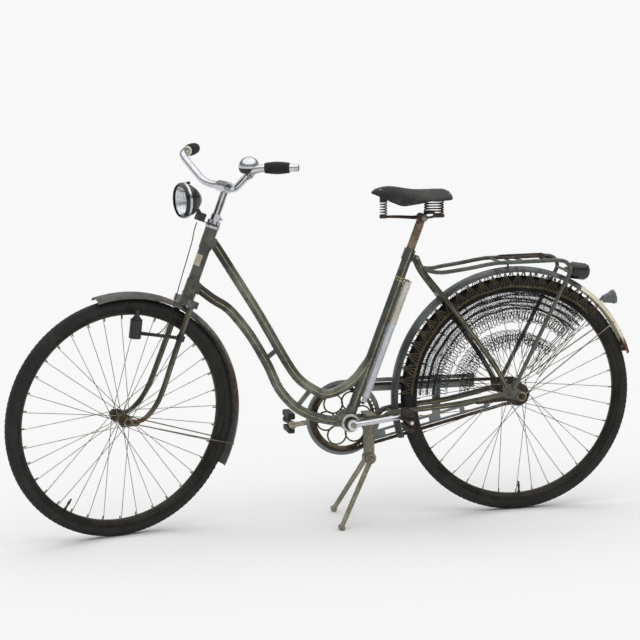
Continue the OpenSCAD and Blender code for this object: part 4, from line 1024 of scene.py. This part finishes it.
print("clipping on the pump")
seatBack = Vector((-seatDir.z, 0, seatDir.x))
pump = {"from": 0.067, "length": 0.375, "aside": 0.0265}
pumpFoot = crankAxle + seatDir * pump["from"] + seatBack * pump["aside"]
split = pump["length"] - 0.13
lower = [(0, -0.0004), (0.0065, 0), (0.0075, 0.004), (0.0075, 0.012), (0.0105, 0.016), (0.011, 0.018),
         (0.011, split), (0, split)]
upper = [(0, split - 0.001), (0.0118, split), (0.0121, split + 0.002), (0.0121, split + 0.006),
         (0.0112, split + 0.008),
         (0.0112, pump["length"] - 0.02), (0.0119, pump["length"] - 0.018), (0.0119, pump["length"] - 0.015),
         (0.0108, pump["length"] - 0.013), (0.0108, pump["length"] - 0.003), (0.0085, pump["length"]),
         (0, pump["length"])]
finishPiece(placed(lathe(lower, 36), pumpFoot, seatDir), "pumpBarrel", "pumpAlloy", "frame", ("pump",))
finishPiece(placed(lathe(upper, 36), pumpFoot, seatDir), "pumpSleeve", "pumpSleeve", "frame")
pegAt = crankAxle + seatDir * (pump["from"] + pump["length"] + 0.003) + seatBack * 0.022
wings = [eased([pegAt + seatBack * 0.006, pegAt + seatBack * 0.008 + left * 0.007,
                pegAt + seatBack * 0.012 + left * 0.013]),
         eased([pegAt + seatBack * 0.006, pegAt + seatBack * 0.008 - left * 0.007,
                pegAt + seatBack * 0.012 - left * 0.013])]
finishPiece(sweep(wings, 0.0018, 2), "pumpWingNut", "chrome", "frame")

# bell
bellAt = barLow.lerp(barHigh, 0.7)
bowlFoot, bowlTip = onBars(bellAt + Vector((0, 0, 0.002))), onBars(bellAt + Vector((0, 0, 0.022)))
bowlLine = [(0.004, 0.0), (0.014, 0.0002), (0.0225, 0.003), (0.0275, 0.009), (0.0297, 0.0165), (0.0299, 0.0178),
            (0.028, 0.0178)]
finishPiece(placed(lathe(bowlLine, 40), bowlFoot, bowlTip - bowlFoot), "bellBowl", "blackShell", "fork")

# the stem's long pressed slot, drawn as a darker block whose dark finish is painted shade for the slot
stemFoot = headTop + axisUp * 0.045
recessShade = block((0.0016, 0.0055, 0.066), 0.0007)
finishPiece(placed(recessShade, steered(stemFoot + axisUp * 0.031 + left * 0.0109), axisUp,
                   steered(headFoot + left) - headFoot), "stemSlotShade", "ringSteel", "fork")

# head bearings and the plain badge
cupLine = [(0.0128, 0.0), (0.0206, 0.0), (0.0214, 0.0015), (0.0214, 0.0078), (0.0198, 0.0092), (0.0128, 0.0094)]
finishPiece(placed(lathe(cupLine, 36), headTop, axisUp), "upperCup", "chrome", "frame")
nutLine = [(0.0128, 0.0), (0.0185, 0.0), (0.0193, 0.001), (0.0193, 0.0102), (0.0183, 0.0112), (0.0128, 0.0112)]
finishPiece(placed(lathe(nutLine, 8), headTop + axisUp * 0.0126, axisUp), "headNut", "chrome", "fork")
badgePiece = lathe([(0.0166, -0.017), (0.0171, -0.0165), (0.0172, 0.0165), (0.0166, 0.017)], 40)
pick(badgePiece)
editAll()
bpy.ops.mesh.bisect(plane_co=(0.0095, 0, 0), plane_no=(1, 0, 0), use_fill=True, clear_inner=True)
editDone()
finishPiece(placed(badgePiece, headFoot + axisUp * 0.098, axisUp, axisFwd + left * 0.55), "headBadge",
            "badgeFoil", "frame")

# crank bearing
lockLine = [(0.017, 0.0), (0.0262, 0.0), (0.027, 0.001), (0.0262, 0.004), (0.0215, 0.0044), (0.0205, 0.0022),
            (0.017, 0.0022)]
for label, side in (("left", 1), ("right", -1)):
    at = crankAxle + left * side * 0.0375
    finishPiece(placed(lathe(lockLine, 40), at, left * side, (1, 0, 0)), label + "LockRing", "pumpSleeve",
                "frame")
    dust = lathe([(0.0086, 0.0), (0.0195, 0.0), (0.0195, 0.0032), (0.0125, 0.0062), (0.0086, 0.0062)], 32)
    finishPiece(placed(dust, at, left * side, (1, 0, 0)), label + "DustCap", "blackShell", "frame")

print("treading the pedals")
pedal = {"plateR": 0.0095, "reach": 0.042, "plateT": 0.0025, "blockSize": (0.023, 0.079, 0.0195),
         "blockZ": 0.0215, "from": 0.078, "length": 0.088}


def stadium(radius, reach, thickness):  # a flat plate with round ends, lying in XY and centred
    deselect()
    bpy.ops.mesh.primitive_circle_add(vertices=24, radius=radius, fill_type="NGON")
    piece = bpy.context.active_object
    for shift in (1, -1):
        for vertex in piece.data.vertices:
            vertex.select = vertex.co.x * shift > 0.0001
        for face in piece.data.polygons:
            face.select = False
        bpy.ops.object.mode_set(mode="EDIT")
        bpy.ops.mesh.select_mode(type="VERT")
        bpy.ops.transform.translate(value=(shift * reach / 2, 0, 0))
        editDone()
    editAll()
    bpy.ops.mesh.extrude_region_move(TRANSFORM_OT_translate={"value": (0, 0, thickness)})
    bpy.ops.mesh.select_all(action="SELECT")
    bpy.ops.mesh.normals_make_consistent(inside=False)
    editDone()
    return piece


for label, side in (("left", 1), ("right", -1)):
    hub = jointAt(label + "_pedal_spin")
    start = pedal["from"]
    turn = Matrix(((0, 1, 0), (0, 0, 1), (1, 0, 0))).to_4x4()  # plates stand up in the side view
    metal = []
    for y in (start, start + pedal["length"] - pedal["plateT"] + 0.001):
        plate = stadium(pedal["plateR"], pedal["reach"], pedal["plateT"])
        plate.data.transform(Matrix.Translation((hub.x, side * y + (0 if side > 0 else -pedal["plateT"]),
                                                 hub.z)) @ turn)
        metal.append(plate)
    barrel = lathe([(0.0055, 0.0), (0.0095, 0.0), (0.0095, 0.012), (0.0072, 0.016), (0.0072, 0.072),
                    (0.0095, 0.076), (0.0095, 0.088), (0.0085, 0.0895), (0.004, 0.0905), (0, 0.0905)], 24)
    metal.append(placed(barrel, (hub.x, side * start, hub.z), left * side, (1, 0, 0)))
    for rise in (-1, 1):
        for y in (start + 0.0005, start + pedal["length"] - 0.001):
            nut = lathe([(0, -0.0018), (0.0038, -0.0018), (0.0038, 0.0018), (0.002, 0.0026), (0, 0.0026)], 12)
            metal.append(placed(nut, (hub.x, side * y, hub.z + rise * pedal["blockZ"]), left * side, (1, 0, 0)))
    finishPiece(joined(metal), label + "PedalMetal", "darkRust", label + "_pedal", (label + "_pedal",))
    pads = []
    for rise in (-1, 1):
        pad = block(pedal["blockSize"], 0.0045, 3)
        pick(pad)
        for face in pad.data.polygons:
            face.select = abs(face.normal.x) > 0.9 and face.area > 0.0001
        bpy.ops.object.mode_set(mode="EDIT")
        bpy.ops.mesh.select_mode(type="FACE")
        bpy.ops.mesh.inset(thickness=0.0022, depth=-0.0016)
        editDone()
        pad.data.transform(Matrix.Translation((hub.x, side * (start + pedal["length"] / 2),
                                               hub.z + rise * pedal["blockZ"])))
        pads.append(pad)
    finishPiece(joined(pads), label + "PedalPads", "blockRubber", label + "_pedal", (label + "_pedal_blocks",))

print("stretching the saddle")
saddle = {"length": 0.23, "halfWidth": 0.089, "wall": 0.004,
          # share of the length from the back, share of the half width, crown height and drop of the skirt in mm
          "shape": [(0.0, 0.5, 67, 11), (0.018, 0.74, 75, 20), (0.06, 0.9, 79, 25), (0.14, 0.99, 80, 26),
                    (0.24, 1.0, 80, 26),
                    (0.34, 0.95, 80.5, 28), (0.44, 0.78, 82, 36), (0.55, 0.57, 86, 46), (0.64, 0.43, 90, 53),
                    (0.73, 0.34, 93.5, 49), (0.82, 0.27, 94, 38), (0.9, 0.22, 91, 27), (0.96, 0.16, 86, 16),
                    (1.0, 0.07, 79.5, 6)]}
coverLow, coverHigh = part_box("saddle_cover")
saddleFoot = Vector((coverLow.x, 0, coverHigh.z - 0.094))
stations = eased([Vector(row[:3]) for row in saddle["shape"]], 3)
drops = eased([Vector((row[0], row[3], 0)) for row in saddle["shape"]], 3)
arcs = 24
deselect()
bpy.ops.mesh.primitive_grid_add(x_subdivisions=len(stations) - 1, y_subdivisions=arcs, size=1)
cover = bpy.context.active_object


def onSaddle(row, across):  # across runs from -1 at the right edge to 1 at the left
    share, wide, crown = stations[row]
    lean = math.pi / 2 * across
    return saddleFoot + Vector((share * saddle["length"], wide * saddle["halfWidth"] * math.sin(lean),
                                (crown - drops[row].y * (1 - math.cos(lean))) * mm))


for vertex in cover.data.vertices:
    row = round((vertex.co.x + 0.5) * (len(stations) - 1))
    vertex.co = onSaddle(row, round((vertex.co.y + 0.5) * arcs) / arcs * 2 - 1)
editAll()
bpy.ops.mesh.normals_make_consistent(inside=False)
editDone()
wall = cover.modifiers.new("wall", "SOLIDIFY")
wall.thickness = saddle["wall"]
wall.offset = -1.0 if cover.data.polygons[len(cover.data.polygons) // 2].normal.z > 0 else 1.0
bpy.ops.object.modifier_apply(modifier="wall")
rounding = cover.modifiers.new("round", "SUBSURF")
rounding.levels = rounding.render_levels = 1
bpy.ops.object.modifier_apply(modifier="round")
finishPiece(cover, "saddleCover", "saddleLeather", "frame", ("saddle_cover",), 60)

rivetLine = [(0, 0.0016), (0.0022, 0.0013), (0.0038, 0.0004), (0.0042, -0.0006), (0, -0.0008)]
rivets = []
for share, across in ((0.045, 0.28), (0.045, -0.28), (0.06, 0.55), (0.06, -0.55), (0.95, 0.0), (0.9, 0.4),
                      (0.9, -0.4)):
    row = min(range(len(stations)), key=lambda k: abs(stations[k].x - share))
    rivets.append(placed(lathe(rivetLine, 14), onSaddle(row, across),
                         (0.3 if share > 0.5 else -0.3, 0.6 * across, 1)))
finishPiece(joined(rivets), "saddleRivets", "brightSteel", "frame")

clampAxle = saddleFoot + Vector((0.345 * saddle["length"], 0, 0))
nuts = []
for side in (-1, 1):
    nut = lathe([(0, 0.0), (0.009, 0.0), (0.0095, 0.001), (0.0095, 0.006), (0.0065, 0.0065), (0.0065, 0.0095),
                 (0.005, 0.0105), (0, 0.0105)], 6)
    nuts.append(placed(nut, clampAxle + Vector((0, side * 0.024, 0)), left * side, (1, 0, 0)))
finishPiece(joined(nuts), "saddleNuts", "brightSteel", "frame")

# the stand's screw and the seat bolt
screwLine = [(0, 0.0048), (0.0055, 0.0044), (0.0085, 0.0026), (0.0092, 0.0), (0, -0.0005)]
standPivot = jointAt("stand_fold")
finishPiece(placed(lathe(screwLine, 20), standPivot + left * 0.0262, left, (1, 0, 0)), "standScrew",
            "brightSteel", "stand")
seatTop = crankAxle + seatDir * tubes["seatLength"]
boltLine = [(0, 0.004), (0.006, 0.004), (0.0065, 0.003), (0.0065, 0.0), (0, 0.0)]
finishPiece(placed(lathe(boltLine, 6), seatTop + Vector((-0.013, 0.028, -0.022)), left, (1, 0, 0)), "seatBolt",
            "brightSteel", "frame")

print("finishing")
